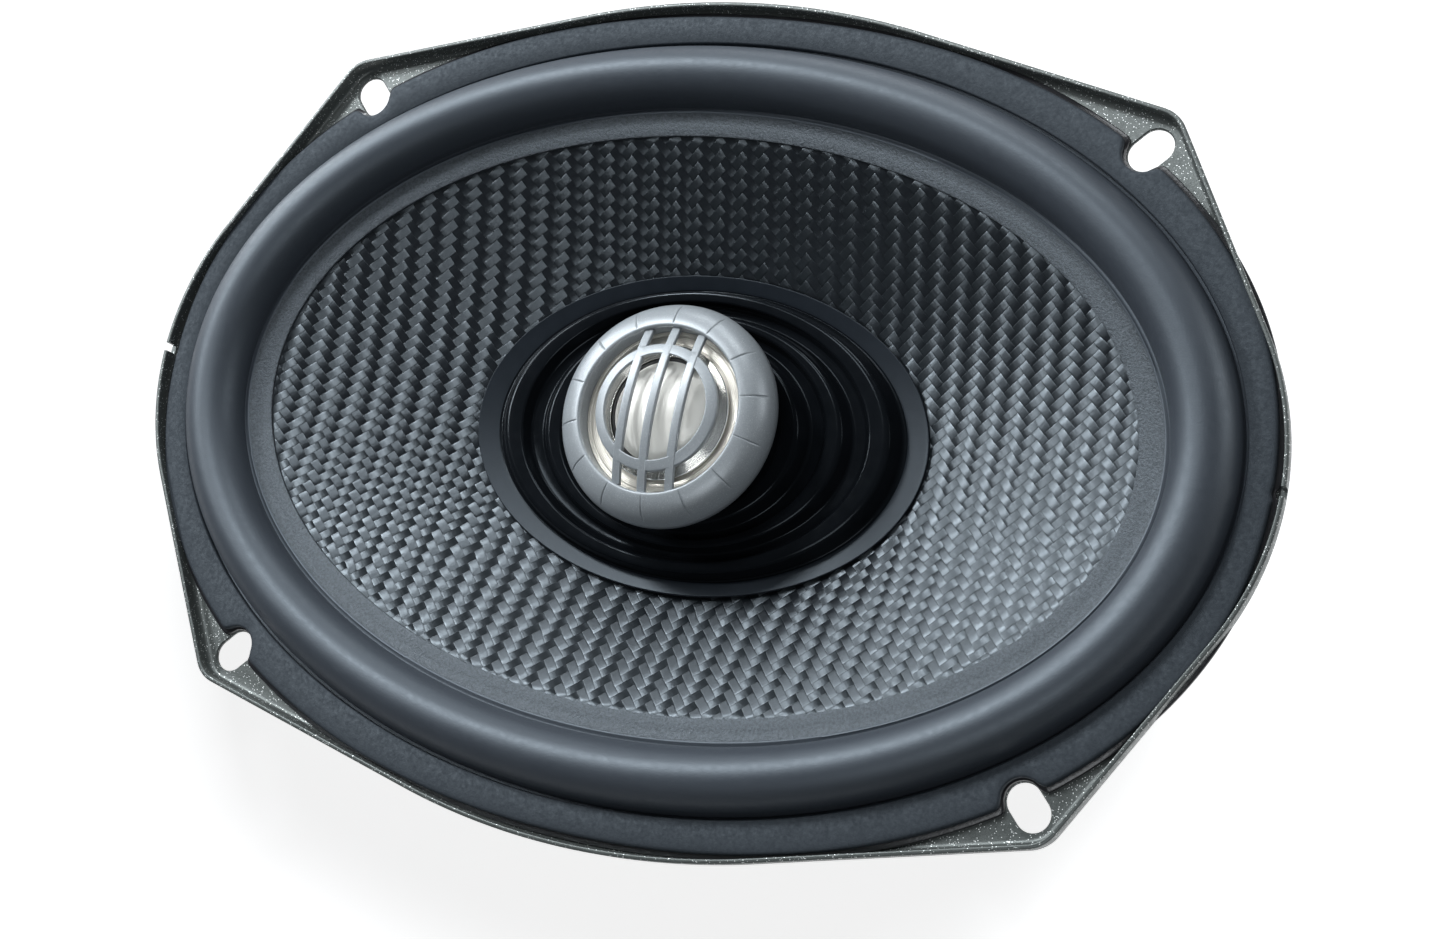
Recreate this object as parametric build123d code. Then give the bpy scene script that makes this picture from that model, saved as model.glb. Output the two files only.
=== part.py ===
from build123d import *
import math
import os

# Two-way coaxial car speaker, 6x9-inch class. Millimetres.
# The origin is the centre of the flange's back face, which is the mounting plane.
# +X runs along the oval's long axis, +Y along its short axis, +Z towards the listener.

os.makedirs("parts", exist_ok=True)

# ---- basket flange --------------------------------------------------------------------
SHEET = 0.9                     # steel sheet of the flange and its lip
FLANGE_X, FLANGE_Y = 118.0, 84.3        # half length and half width
SIDE_ARC_R = 150.6              # long sides, centred on the Y axis
END_ARC_R = 56.0                # rounded ends, centred on the X axis
EAR_X, EAR_Y = 88.4, 66.8       # sharp corner of an ear, before rounding
EAR_ROUND = 7.0
LIP_TOP = 4.2                   # top of the upturned lip
NICK = 1.8                      # locating nick at both ends of the long axis
SLOT_X, SLOT_Y = 83.7, 60.4     # centres of the mounting slots
SLOT_WIDTH, SLOT_LENGTH = 6.5, 9.1
SLOT_ANGLE = 47.0               # direction of a slot, from the X axis

# ---- basket body ----------------------------------------------------------------------
WALL = 1.0
BODY_A, BODY_B = 109.5, 75.0    # outer half axes just behind the flange
SKIRT_A, SKIRT_B = 108.7, 74.2  # the same at the bottom of the plain skirt
SKIRT_Z = -8.0
SHELF_R = 52.0                  # outer radius of the spider shelf
SHELF_Z = -36.0                 # top of the spider shelf
CUP_R = 46.0                    # cup below the shelf
SEAT_R = 44.0
SEAT_Z = -48.0                  # top of the seat riveted to the motor
SEAT_HOLE_R = 18.6
LEG_ANGLES = (35.0, 90.0, 145.0, 215.0, 270.0, 325.0)
LEG_WIDTH = 18.0
TERMINAL_LEG = 270.0            # this leg carries the terminal board
TERMINAL_LEG_WIDTH = 34.0
WINDOW_OUTER = (100.0, 70.4)    # half axes of the windows' outer and inner edges
WINDOW_INNER = (60.0, 55.2)
WINDOW_ROUND = 4.0

# ---- soft parts and cone --------------------------------------------------------------
BAND_A, BAND_B = 116.0, 82.0    # outer half axes of the surround's flange
GASKET_A, GASKET_B = 115.0, 81.0
SLOT_CLEARANCE = 0.3            # gap between the mounting slots and the soft parts
ROLL_A, ROLL_B = 103.75, 69.0   # crest line of the half roll
ROLL_RA, ROLL_RB = 6.35, 6.2    # half width of the roll
ROLL_FOOT_Z, ROLL_TOP_Z = 1.5, 8.9
RUBBER = 0.8
SURROUND_TOP_Z = SHEET + RUBBER
GASKET_TOP_Z = 3.0
RIM_A, RIM_B, RIM_Z = 97.0, 62.4, 0.0   # outer edge of the cone, top face
BREAK_A, BREAK_B, BREAK_Z = 91.5, 57.3, -0.4    # where the rim turns into the cone
NECK_R, NECK_Z = 16.9, -23.5
NECK_BOTTOM_Z = -26.5
PAPER = 0.7                     # thickness of the cone
RING_FILM = 0.5                 # thickness of the centre ring
RING_FACE = (                   # half length, half width and z from its rim to its inner edge
    (49.0, 32.7, -13.0), (43.8, 29.5, -14.0),
    (40.4, 28.1, -10.5), (37.4, 26.4, -10.5), (34.3, 24.4, -13.3),
    (31.3, 23.4, -10.5), (28.5, 22.3, -10.5), (24.9, 20.3, -13.3),
    (22.0, 18.9, -10.5), (19.3, 17.7, -10.5), (15.9, 15.7, -12.6),
)
SPIDER_FOOT_R, SPIDER_FLAT_R, SPIDER_INNER_R = 50.0, 46.5, 19.0
SPIDER_WAVES, SPIDER_WAVE_HEIGHT = 5, 1.3
SPIDER_CLOTH = 0.4
SPIDER_MIDDLE_Z = SHELF_Z + 1.8
SPIDER_COLLAR = 3.0             # height of the collar on the former

# ---- motor ----------------------------------------------------------------------------
FORMER_RI, FORMER_RO = 16.0, 16.3
FORMER_TOP_Z, FORMER_BOTTOM_Z = -22.0, -57.5
COIL_RO = 17.4
COIL_HEIGHT = 10.0
PLATE_R, PLATE_HOLE_R, PLATE_THICK = 46.0, 17.9, 5.0
MAGNET_RO, MAGNET_RI, MAGNET_THICK = 45.0, 22.0, 17.0
BACK_R, BACK_THICK = 43.0, 5.0
POLE_R, POLE_TOP_Z, BORE_R = 15.6, -47.5, 5.0
BOOT_RO, BOOT_RI, BOOT_HOLE_R = 47.6, 46.1, 12.0
BOOT_TOP_Z = -50.5
BACK_Z = -78.0                  # the speaker lies on this plane
PLATE_TOP_Z = SEAT_Z - WALL
PLATE_BOTTOM_Z = PLATE_TOP_Z - PLATE_THICK
MAGNET_BOTTOM_Z = PLATE_BOTTOM_Z - MAGNET_THICK
YOKE_BOTTOM_Z = MAGNET_BOTTOM_Z - BACK_THICK
COIL_MID_Z = (PLATE_TOP_Z + PLATE_BOTTOM_Z) / 2
RIVET_CIRCLE_R = 32.0

# ---- tweeter --------------------------------------------------------------------------
BEZEL_R, BEZEL_FRONT_R, BEZEL_WALL_R = 22.2, 16.9, 16.4
BEZEL_FRONT_Z = 5.9
HOUSING_R, HOUSING_TOP_Z = 21.2, 0.3
HOUSING_NECK_R, HOUSING_NECK_Z, HOUSING_FLOOR_Z = 13.6, -4.2, -8.2
TWEETER_FACE_Z = 2.0            # front of the tweeter cup and its faceplate
TWEETER_CUP_RO, TWEETER_CUP_RI = 12.6, 10.9
TWEETER_CUP_Z = -6.8
DOME_R, DOME_Z, DOME_RISE, DOME_FILM = 10.2, 2.6, 4.2, 0.3
GUARD_TOP_Z, GUARD_EDGE_Z, GUARD_THICK = 9.0, 5.1, 1.1
GUARD_RING_RI, GUARD_RING_RO = 10.5, 12.6
GUARD_BAR_X, GUARD_BAR_WIDTH = 5.6, 1.7
POST_BASE_R, POST_R, POST_TOP_R = 14.4, 9.0, 13.4
BOLT_R = 2.0
BOLT_TOP_Z = -20.0
RECESS_R, RECESS_Z = 8.0, -73.0         # recess for the bolt head in the back plate

# ---- terminals and wiring -------------------------------------------------------------
BOARD_X, BOARD_Y, BOARD_THICK = 32.0, 26.0, 1.6
TAB_LENGTH = 7.5
POSITIVE_WIDTH, POSITIVE_THICK = 4.75, 0.8
NEGATIVE_WIDTH, NEGATIVE_THICK = 2.8, 0.5
TAB_X, TAB_Y, TAB_BASE = 10.0, 2.0, 7.0
CAP_R, CAP_LENGTH, CAP_Y = 4.0, 16.0, -8.0
LEAD_R, LEAD_X = 0.5, 0.8       # the two tweeter leads lie side by side
LEAD_DOWN_Y = -45.55            # between magnet and boot
LEAD_GROOVE_Z = -72.4
LEAD_BORE_Y = -3.6              # beside the bolt
WIRE_R = 0.3
TINSEL_R = 0.6
EYELET_X, EYELET_Y, EYELET_Z = 14.0, -24.4, -21.4


def save(shape, node):
    """Write one sub-part, which may be several separate solids, to its own STEP file."""
    shape.label = node
    export_step(shape, f"parts/{node}.step")


def group(solids):
    """Several separate solids as one sub-part."""
    return Compound(children=list(solids))


def lathe(points):
    """Solid of revolution about Z from (radius, z) points."""
    profile = make_face(Plane.XZ * Polyline(*points, close=True))
    return revolve(profile, Axis.Z)


def ring(inner, outer, bottom, top):
    """Plain round ring, or a disc when inner is 0."""
    plan = Circle(outer) - Circle(inner) if inner else Circle(outer)
    return Pos(0, 0, bottom) * extrude(plan, top - bottom)


def oval_ring(stations):
    """Closed ring whose section runs through (half length, half width, z) stations."""
    edges = [(Pos(0, 0, z) * Ellipse(a, b)).edge() for a, b, z in stations]
    faces = [
        Face.make_surface_from_curves(first, second)
        for first, second in zip(edges, edges[1:] + edges[:1])
    ]
    return Solid(Shell(faces))


def film(stations, thickness):
    """Oval ring whose upper face runs through the stations, with a constant height."""
    lower = [(a, b, z - thickness) for a, b, z in reversed(stations)]
    return oval_ring(list(stations) + lower)


def tangent_point(centre, radius, point, side):
    """Where a line from the point touches the circle; side is +1 or -1."""
    dx = point[0] - centre[0]
    dy = point[1] - centre[1]
    base = math.atan2(dy, dx)
    swing = side * math.acos(radius / math.hypot(dx, dy))
    angle = base + swing
    return (centre[0] + radius * math.cos(angle), centre[1] + radius * math.sin(angle))


def in_corners(x, y, angle):
    """The same place in all four corners of the oval, each turned to match."""
    for sx, sy in ((1, 1), (-1, 1), (-1, -1), (1, -1)):
        yield Pos(sx * x, sy * y) * Rot(0, 0, sx * sy * angle)


def flange_outline():
    """Oval of four arcs with a straight-sided ear at each corner."""
    side_centre = (0.0, FLANGE_Y - SIDE_ARC_R)
    end_centre = (FLANGE_X - END_ARC_R, 0.0)
    ear = (EAR_X, EAR_Y)
    side_touch = tangent_point(side_centre, SIDE_ARC_R, ear, 1)
    end_touch = tangent_point(end_centre, END_ARC_R, ear, -1)
    half_side = ThreePointArc(
        (-side_touch[0], side_touch[1]), (0, FLANGE_Y), side_touch
    )
    end = ThreePointArc(end_touch, (FLANGE_X, 0), (end_touch[0], -end_touch[1]))
    edges = [half_side, mirror(half_side, Plane.XZ), end, mirror(end, Plane.YZ)]
    for sx in (1, -1):
        for sy in (1, -1):
            corner = (sx * ear[0], sy * ear[1])
            edges.append(Line((sx * side_touch[0], sy * side_touch[1]), corner))
            edges.append(Line(corner, (sx * end_touch[0], sy * end_touch[1])))
    plan = make_face(edges)
    corners = [
        v for v in plan.vertices() if abs(abs(v.X) - EAR_X) + abs(abs(v.Y) - EAR_Y) < 0.01
    ]
    return fillet(corners, EAR_ROUND)


def slots(clearance=0.0):
    """The four diagonal mounting slots as plan shapes."""
    plan = Sketch()
    for place in in_corners(SLOT_X, SLOT_Y, SLOT_ANGLE):
        plan += place * SlotOverall(SLOT_LENGTH + 2 * clearance, SLOT_WIDTH + 2 * clearance)
    return plan


def window_plan():
    """Plan shapes of the openings between the basket's legs."""
    plan = Ellipse(*WINDOW_OUTER) - Ellipse(*WINDOW_INNER)
    for angle in LEG_ANGLES:
        width = TERMINAL_LEG_WIDTH if angle == TERMINAL_LEG else LEG_WIDTH
        plan -= Rot(0, 0, angle) * Pos(75, 0) * Rectangle(150, width)
    corners = [v for v in plan.vertices() if abs(v.Y) > 1]
    return fillet(corners, WINDOW_ROUND)


def basket():
    """Stamped frame: flange, lip, skirt, legs, spider shelf and motor seat."""
    outline = flange_outline()
    flange = extrude(outline - Ellipse(BODY_A - WALL, BODY_B - WALL) - slots(), SHEET)
    lip_plan = outline - offset(outline, -SHEET)
    lip_plan -= Rectangle(2 * FLANGE_X + 2, NICK)
    lip = Pos(0, 0, SHEET) * extrude(lip_plan, LIP_TOP - SHEET)
    skirt = oval_ring([
        (BODY_A, BODY_B, 0),
        (SKIRT_A, SKIRT_B, SKIRT_Z),
        (SKIRT_A - WALL, SKIRT_B - WALL, SKIRT_Z),
        (BODY_A - WALL, BODY_B - WALL, 0),
    ])
    wall = oval_ring([
        (SKIRT_A, SKIRT_B, SKIRT_Z),
        (SHELF_R, SHELF_R, SHELF_Z - WALL),
        (SHELF_R, SHELF_R, SHELF_Z),
        (SKIRT_A - WALL, SKIRT_B - WALL, SKIRT_Z + 0.4),
    ])
    wall -= Pos(0, 0, -60) * extrude(window_plan(), 60)
    cup = lathe([
        (SHELF_R, SHELF_Z), (SHELF_R, SHELF_Z - WALL), (CUP_R, SHELF_Z - WALL),
        (SEAT_R, SEAT_Z - WALL), (SEAT_HOLE_R, SEAT_Z - WALL), (SEAT_HOLE_R, SEAT_Z),
        (SEAT_R - WALL, SEAT_Z), (CUP_R - WALL, SHELF_Z),
    ])
    body = flange + lip + skirt + wall + cup
    for x, y in rivet_places():
        body -= Pos(x, y, SEAT_Z - 2) * Cylinder(2.0, 6)
    for x, y, radius in rivet_spots():
        if x == 0:
            body -= board_plane() * Pos(x, y, 0) * Cylinder(radius, 6)
    return body


def rivet_places():
    """Four places on the motor's rivet circle."""
    for step in range(4):
        angle = math.radians(45 + 90 * step)
        yield RIVET_CIRCLE_R * math.cos(angle), RIVET_CIRCLE_R * math.sin(angle)


def board_plane():
    """Plane of the terminal board, flat on the outside of the 270 degree leg."""
    run = SKIRT_B - SHELF_R
    drop = SKIRT_Z - (SHELF_Z - WALL)
    middle = (0, -(SKIRT_B + SHELF_R) / 2, (SKIRT_Z + SHELF_Z - WALL) / 2)
    return Plane(origin=middle, x_dir=(1, 0, 0), z_dir=(0, -drop, -run))


def on_board(x, y, z):
    """A point given on the terminal board's plane, as a point in the part's frame."""
    return board_plane().from_local_coords(Vector(x, y, z))


def wire(points, radius, bends):
    """Round wire along straight runs joined by tangent arcs."""
    path = FilletPolyline(*points, radius=bends)
    return sweep(Plane(path @ 0, z_dir=path % 0) * Circle(radius), path=path)


def lead_channel(bottom, top):
    """Passage for the two tweeter leads beside the bolt."""
    width = 2 * (LEAD_X + LEAD_R) + 0.6
    depth = 2 * LEAD_R + 0.5
    height = top - bottom
    return Pos(0, LEAD_BORE_Y, bottom + height / 2) * Box(width, depth, height)


def front_gasket():
    """Flat gasket on top of the surround's flange, cleared round the slots."""
    plan = Ellipse(GASKET_A, GASKET_B) - Ellipse(ROLL_A + ROLL_RA + 0.5, ROLL_B + ROLL_RB + 0.5)
    plan -= slots(SLOT_CLEARANCE)
    for side in (-1, 1):
        plan -= Pos(side * GASKET_A, 0) * Rectangle(3, NICK)
    return Pos(0, 0, SURROUND_TOP_Z) * extrude(plan, GASKET_TOP_Z - SURROUND_TOP_Z)


def roll_stations(inset, steps=10):
    """Half roll from its outer foot over the crest to its inner foot."""
    rise = ROLL_TOP_Z - ROLL_FOOT_Z - inset
    for step in range(steps + 1):
        angle = math.pi * step / steps
        across = math.cos(angle)
        yield (
            ROLL_A + (ROLL_RA - inset) * across,
            ROLL_B + (ROLL_RB - inset) * across,
            ROLL_FOOT_Z + rise * math.sin(angle),
        )


def surround():
    """Rubber half roll with an outer flange and an inner landing on the cone's rim."""
    top = [(BAND_A, BAND_B, SURROUND_TOP_Z)]
    top += list(roll_stations(0.0))
    top += [(BREAK_A, BREAK_B, BREAK_Z + RUBBER - 0.1)]
    under = [(BREAK_A, BREAK_B, BREAK_Z + 0.05), (RIM_A - 0.2, RIM_B - 0.2, RIM_Z + 0.05)]
    under += reversed(list(roll_stations(RUBBER)))
    under += [(ROLL_A + ROLL_RA, ROLL_B + ROLL_RB, SHEET)]
    under += [(BAND_A, BAND_B, SHEET)]
    body = oval_ring(top + under)
    return body - Pos(0, 0, -5) * extrude(slots(SLOT_CLEARANCE), 20)


def cone():
    """Oval cone with a flat rim and a short round neck."""
    top = [(RIM_A, RIM_B, RIM_Z), (BREAK_A, BREAK_B, BREAK_Z), (NECK_R, NECK_R, NECK_Z)]
    neck = (FORMER_RO, FORMER_RO, NECK_Z - 0.2)
    neck_bottom = (FORMER_RO, FORMER_RO, NECK_BOTTOM_Z)
    neck_outside = (NECK_R + 0.1, NECK_R + 0.1, NECK_BOTTOM_Z)
    root = (NECK_R + 0.6, NECK_R + 0.6, NECK_Z - PAPER)
    under = [(BREAK_A, BREAK_B, BREAK_Z - PAPER), (RIM_A, RIM_B, RIM_Z - PAPER)]
    return oval_ring(top + [neck, neck_bottom, neck_outside, root] + under)


def centre_ring():
    """Glossy ring glued on the cone, with three ribs that turn from oval to round."""
    return film(RING_FACE, RING_FILM)


def coil_former():
    """Thin tube that joins cone, spider and winding."""
    return ring(FORMER_RI, FORMER_RO, FORMER_BOTTOM_Z, FORMER_TOP_Z)


def voice_coil():
    """Winding on the former, centred on the top plate."""
    half = COIL_HEIGHT / 2
    return ring(FORMER_RO, COIL_RO, COIL_MID_Z - half, COIL_MID_Z + half)


def spider():
    """Corrugated disc glued to the shelf and to the former."""
    start = SPIDER_FLAT_R - 1.2
    steps = 8 * SPIDER_WAVES
    top = [(SPIDER_FOOT_R, SHELF_Z + SPIDER_CLOTH), (SPIDER_FLAT_R, SHELF_Z + SPIDER_CLOTH)]
    under = [(SPIDER_FOOT_R, SHELF_Z), (SPIDER_FLAT_R, SHELF_Z)]
    for step in range(steps + 1):
        share = step / steps
        radius = start + (SPIDER_INNER_R - start) * share
        wave = SPIDER_WAVE_HEIGHT * math.sin(2 * math.pi * SPIDER_WAVES * share)
        z = SPIDER_MIDDLE_Z + wave
        top.append((radius, z + SPIDER_CLOTH))
        under.append((radius, z))
    collar_z = SPIDER_MIDDLE_Z + SPIDER_COLLAR
    top += [(FORMER_RO + 0.5, collar_z), (FORMER_RO, collar_z)]
    under += [(FORMER_RO, SPIDER_MIDDLE_Z - 0.5)]
    return lathe(top + list(reversed(under)))


def top_plate():
    """Front plate of the motor, with blind rivet holes and a notch for the leads."""
    plate = ring(PLATE_HOLE_R, PLATE_R, PLATE_BOTTOM_Z, PLATE_TOP_Z)
    for x, y in rivet_places():
        plate -= Pos(x, y, PLATE_TOP_Z) * Cylinder(2.0, 6)
    return plate - Pos(0, -PLATE_R, (PLATE_TOP_Z + PLATE_BOTTOM_Z) / 2) * Box(3.4, 2.8, 8)


def motor_rivets():
    """Four rivets that hold the basket's seat on the top plate."""
    rivet = Pos(0, 0, SEAT_Z + 0.6) * Cylinder(3.2, 1.2)
    rivet += Pos(0, 0, SEAT_Z - 1.9) * Cylinder(2.0, 3.8)
    return group([Pos(x, y) * rivet for x, y in rivet_places()])


def ring_magnet():
    """Ferrite ring."""
    return ring(MAGNET_RI, MAGNET_RO, MAGNET_BOTTOM_Z, PLATE_BOTTOM_Z)


def yoke():
    """Back plate and pole in one piece, bored for the bolt and grooved for the leads."""
    body = lathe([
        (BORE_R, POLE_TOP_Z), (POLE_R, POLE_TOP_Z), (POLE_R, MAGNET_BOTTOM_Z),
        (BACK_R, MAGNET_BOTTOM_Z), (BACK_R, YOKE_BOTTOM_Z), (RECESS_R, YOKE_BOTTOM_Z),
        (RECESS_R, RECESS_Z), (BORE_R, RECESS_Z),
    ])
    groove_top = LEAD_GROOVE_Z + LEAD_R + 0.1
    height = groove_top - YOKE_BOTTOM_Z
    groove = Pos(0, -BACK_R / 2 - 1, groove_top - height / 2) * Box(3.4, BACK_R, height)
    return body - groove


def magnet_boot():
    """Rubber cup pushed over the motor from behind; the speaker can lie on it."""
    return lathe([
        (BOOT_RI, BOOT_TOP_Z), (BOOT_RO, BOOT_TOP_Z), (BOOT_RO, BACK_Z + 2.5),
        (BOOT_RO - 2.5, BACK_Z), (BOOT_HOLE_R, BACK_Z), (BOOT_HOLE_R, YOKE_BOTTOM_Z - 0.1),
        (BOOT_RI, YOKE_BOTTOM_Z - 0.1),
    ])


def post_washer():
    """Washer under the head of the post's bolt."""
    return ring(BOLT_R, 7.0, RECESS_Z - 1.0, RECESS_Z)


def post_bolt():
    """Hexagon bolt that pulls the tweeter post on to the pole."""
    head = Pos(0, 0, RECESS_Z - 1.0 - 2.8) * extrude(RegularPolygon(4.0, 6), 2.8)
    shank = ring(0, BOLT_R, RECESS_Z - 1.0, BOLT_TOP_Z)
    return head + shank


def tweeter_post():
    """Post on the pole that carries the tweeter in front of the cone's neck."""
    body = lathe([
        (0, POLE_TOP_Z), (POST_BASE_R, POLE_TOP_Z), (POST_BASE_R, POLE_TOP_Z + 3),
        (POST_R, POLE_TOP_Z + 8), (POST_R, HOUSING_FLOOR_Z - 9),
        (POST_TOP_R, HOUSING_FLOOR_Z - 3), (POST_TOP_R, HOUSING_FLOOR_Z),
        (0, HOUSING_FLOOR_Z),
    ])
    body -= ring(0, BOLT_R, POLE_TOP_Z - 1, BOLT_TOP_Z)
    return body - lead_channel(POLE_TOP_Z - 1, HOUSING_FLOOR_Z + 1)


def tweeter_housing():
    """Plastic shell that carries the tweeter's motor, bezel and faceplate."""
    body = lathe([
        (0, HOUSING_FLOOR_Z), (HOUSING_NECK_R, HOUSING_FLOOR_Z),
        (HOUSING_NECK_R, HOUSING_NECK_Z), (HOUSING_R, -1.4), (HOUSING_R, HOUSING_TOP_Z),
        (TWEETER_CUP_RO, HOUSING_TOP_Z), (TWEETER_CUP_RO, TWEETER_CUP_Z),
        (0, TWEETER_CUP_Z),
    ])
    return body - lead_channel(HOUSING_FLOOR_Z - 1, TWEETER_CUP_Z + 1)


def tweeter_bezel():
    """Convex ring round the tweeter's face."""
    outer = (BEZEL_R, 0.6)
    front = (BEZEL_FRONT_R, BEZEL_FRONT_Z)
    crown = ThreePointArc(outer, (20.6, 3.9), front)
    sides = Polyline(
        front, (BEZEL_WALL_R, BEZEL_FRONT_Z - 0.5), (BEZEL_WALL_R, HOUSING_TOP_Z),
        (HOUSING_R, HOUSING_TOP_Z), (HOUSING_R, -1.2), (BEZEL_R, -1.2), outer,
    )
    return revolve(make_face(Plane.XZ * (crown + sides)), Axis.Z)


def tweeter_guard():
    """Domed guard: a ring crossed by three bars that reach the bezel's inner wall."""
    plan = Circle(GUARD_RING_RO) - Circle(GUARD_RING_RI)
    for x in (-GUARD_BAR_X, 0.0, GUARD_BAR_X):
        plan += Pos(x, 0) * Rectangle(GUARD_BAR_WIDTH, 2 * BEZEL_WALL_R)
    plan &= Circle(BEZEL_WALL_R)
    drop = GUARD_TOP_Z - GUARD_EDGE_Z
    curve = (BEZEL_WALL_R ** 2 + drop ** 2) / (2 * drop)
    centre = Pos(0, 0, GUARD_TOP_Z - curve)
    shell = centre * Sphere(curve) - centre * Sphere(curve - GUARD_THICK)
    return extrude(plan, 20) & shell


def tweeter_faceplate():
    """Flat ring between the tweeter's cup and the bezel's wall."""
    return ring(TWEETER_CUP_RO, BEZEL_WALL_R, HOUSING_TOP_Z, TWEETER_FACE_Z)


def tweeter_trim_ring():
    """Grooved ring that clamps the foot of the tweeter's suspension."""
    return lathe([
        (11.0, 2.3), (13.4, 2.3), (13.4, 2.7), (13.0, 2.9), (12.7, 2.7), (12.4, 2.9),
        (12.1, 2.7), (11.8, 2.95), (11.5, 2.75), (11.2, 3.0), (11.0, 2.9),
    ])


def tweeter_suspension():
    """Small half roll between the dome and the tweeter's cup."""
    face = TWEETER_FACE_Z
    return lathe([
        (13.3, face), (13.3, face + 0.3), (10.95, face + 0.3), (10.6, face + 0.75),
        (DOME_R, DOME_Z), (DOME_R, DOME_Z - 0.3), (10.55, face + 0.35), (10.95, face),
    ])


def tweeter_dome():
    """Thin metal dome."""
    curve = (DOME_R ** 2 + DOME_RISE ** 2) / (2 * DOME_RISE)
    centre = Pos(0, 0, DOME_Z + DOME_RISE - curve)
    shell = centre * Sphere(curve) - centre * Sphere(curve - DOME_FILM)
    return shell & (Pos(0, 0, DOME_Z) * extrude(Circle(DOME_R + 1), 10))


def tweeter_coil_former():
    """Short tube under the dome's edge."""
    return ring(DOME_R - 0.2, DOME_R, -1.6, DOME_Z)


def tweeter_coil():
    """Winding of the tweeter in the gap of its cup."""
    return ring(DOME_R, DOME_R + 0.3, -1.2, 1.2)


def tweeter_cup():
    """Steel cup that closes the tweeter's magnetic circuit."""
    return lathe([
        (0, TWEETER_CUP_Z), (TWEETER_CUP_RO, TWEETER_CUP_Z),
        (TWEETER_CUP_RO, TWEETER_FACE_Z), (TWEETER_CUP_RI, TWEETER_FACE_Z),
        (TWEETER_CUP_RI, TWEETER_CUP_Z + 2), (0, TWEETER_CUP_Z + 2),
    ])


def terminal_board():
    """Insulating board on the outside of the basket's widest leg."""
    board = Pos(0, 0, BOARD_THICK / 2) * Box(BOARD_X, BOARD_Y, BOARD_THICK)
    board = fillet(board.edges().filter_by(Axis.Z), 2.5)
    for x, y, radius in rivet_spots():
        board -= Pos(x, y, 0) * Cylinder(radius, 10)
    return board_plane() * board


def rivet_spots():
    """Rivets of the terminal board: two into the leg, one through each tab."""
    return ((0, 9.5, 1.5), (0, -0.5, 1.5), (-TAB_X, 6.5, 1.0), (TAB_X, 6.5, 1.0))


def terminal_rivets():
    """Rivets of the board and of both tabs."""
    solids = []
    for x, y, radius in rivet_spots():
        through = x == 0
        seat = BOARD_THICK
        if x:
            seat += POSITIVE_THICK if x < 0 else NEGATIVE_THICK
        bottom = -2.2 if through else 0.1
        rivet = Pos(x, y, (seat + bottom) / 2) * Cylinder(radius, seat - bottom)
        rivet += Pos(x, y, seat + 0.4) * Cylinder(radius + 1.1, 0.8)
        solids.append(board_plane() * rivet)
    return group(solids)


def tab(side, width, thick):
    """Spade terminal: a base riveted to the board and a blade that stands off it."""
    base = Pos(0, TAB_Y + TAB_BASE / 2, BOARD_THICK + thick / 2) * Box(width, TAB_BASE, thick)
    blade = Pos(0, TAB_Y + thick / 2, BOARD_THICK + TAB_LENGTH / 2) * Box(width, thick, TAB_LENGTH)
    radius = 1.0
    body = base + blade - Pos(0, 6.5, BOARD_THICK) * Cylinder(radius, 6)
    return board_plane() * Pos(side * TAB_X, 0) * body


def crossover_capacitor():
    """Electrolytic capacitor that keeps low notes from the tweeter."""
    can = Rot(0, 90, 0) * Cylinder(CAP_R, CAP_LENGTH)
    return board_plane() * Pos(0, CAP_Y, BOARD_THICK + CAP_R + 0.1) * can


def capacitor_leads():
    """Wires from the capacitor to the positive tab and to the first tweeter lead."""
    height = BOARD_THICK + CAP_R + 0.1
    low = BOARD_THICK + WIRE_R + 0.1
    end = CAP_LENGTH / 2
    first = [(-end, CAP_Y, height), (-11, CAP_Y, height), (-11, CAP_Y, low), (-11, TAB_Y, low)]
    second = [(end, CAP_Y, height), (12, CAP_Y, height), (12, CAP_Y, low), (12, -11.4, low)]
    wires = []
    for points in (first, second):
        wires.append(wire([on_board(*p) for p in points], WIRE_R, 1.0))
    return group(wires)


def tweeter_leads():
    """Two leads from the board down the motor, through its groove and bore to the tweeter."""
    starts = (
        [on_board(12, -12.1, 2.1), (8.0, -54.8, -38.0)],
        [
            on_board(TAB_X, TAB_Y, 4.0), on_board(TAB_X, TAB_Y - 2.5, 4.0),
            on_board(14.0, -6.0, 4.0), on_board(13.6, -13.5, 3.6), (7.0, -54.5, -41.5),
        ],
    )
    leads = []
    for x, start in zip((-LEAD_X, LEAD_X), starts):
        points = start + [
            (x, LEAD_DOWN_Y - 2.6, -46.0),
            (x, LEAD_DOWN_Y, -49.4),
            (x, LEAD_DOWN_Y, LEAD_GROOVE_Z),
            (x, LEAD_BORE_Y, LEAD_GROOVE_Z),
            (x, LEAD_BORE_Y, TWEETER_CUP_Z - 0.3),
        ]
        leads.append(wire(points, LEAD_R, 1.2))
    return group(leads)


def tinsel_eyelets():
    """Two dabs behind the cone where the tinsel leads end."""
    paper = cone()
    dabs = []
    for side in (-1, 1):
        dab = Pos(side * EYELET_X, EYELET_Y, EYELET_Z + 3) * Cylinder(1.8, 6) - paper
        dabs.append(dab.solids().sort_by(Axis.Z)[0])
    return group(dabs)


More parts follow.
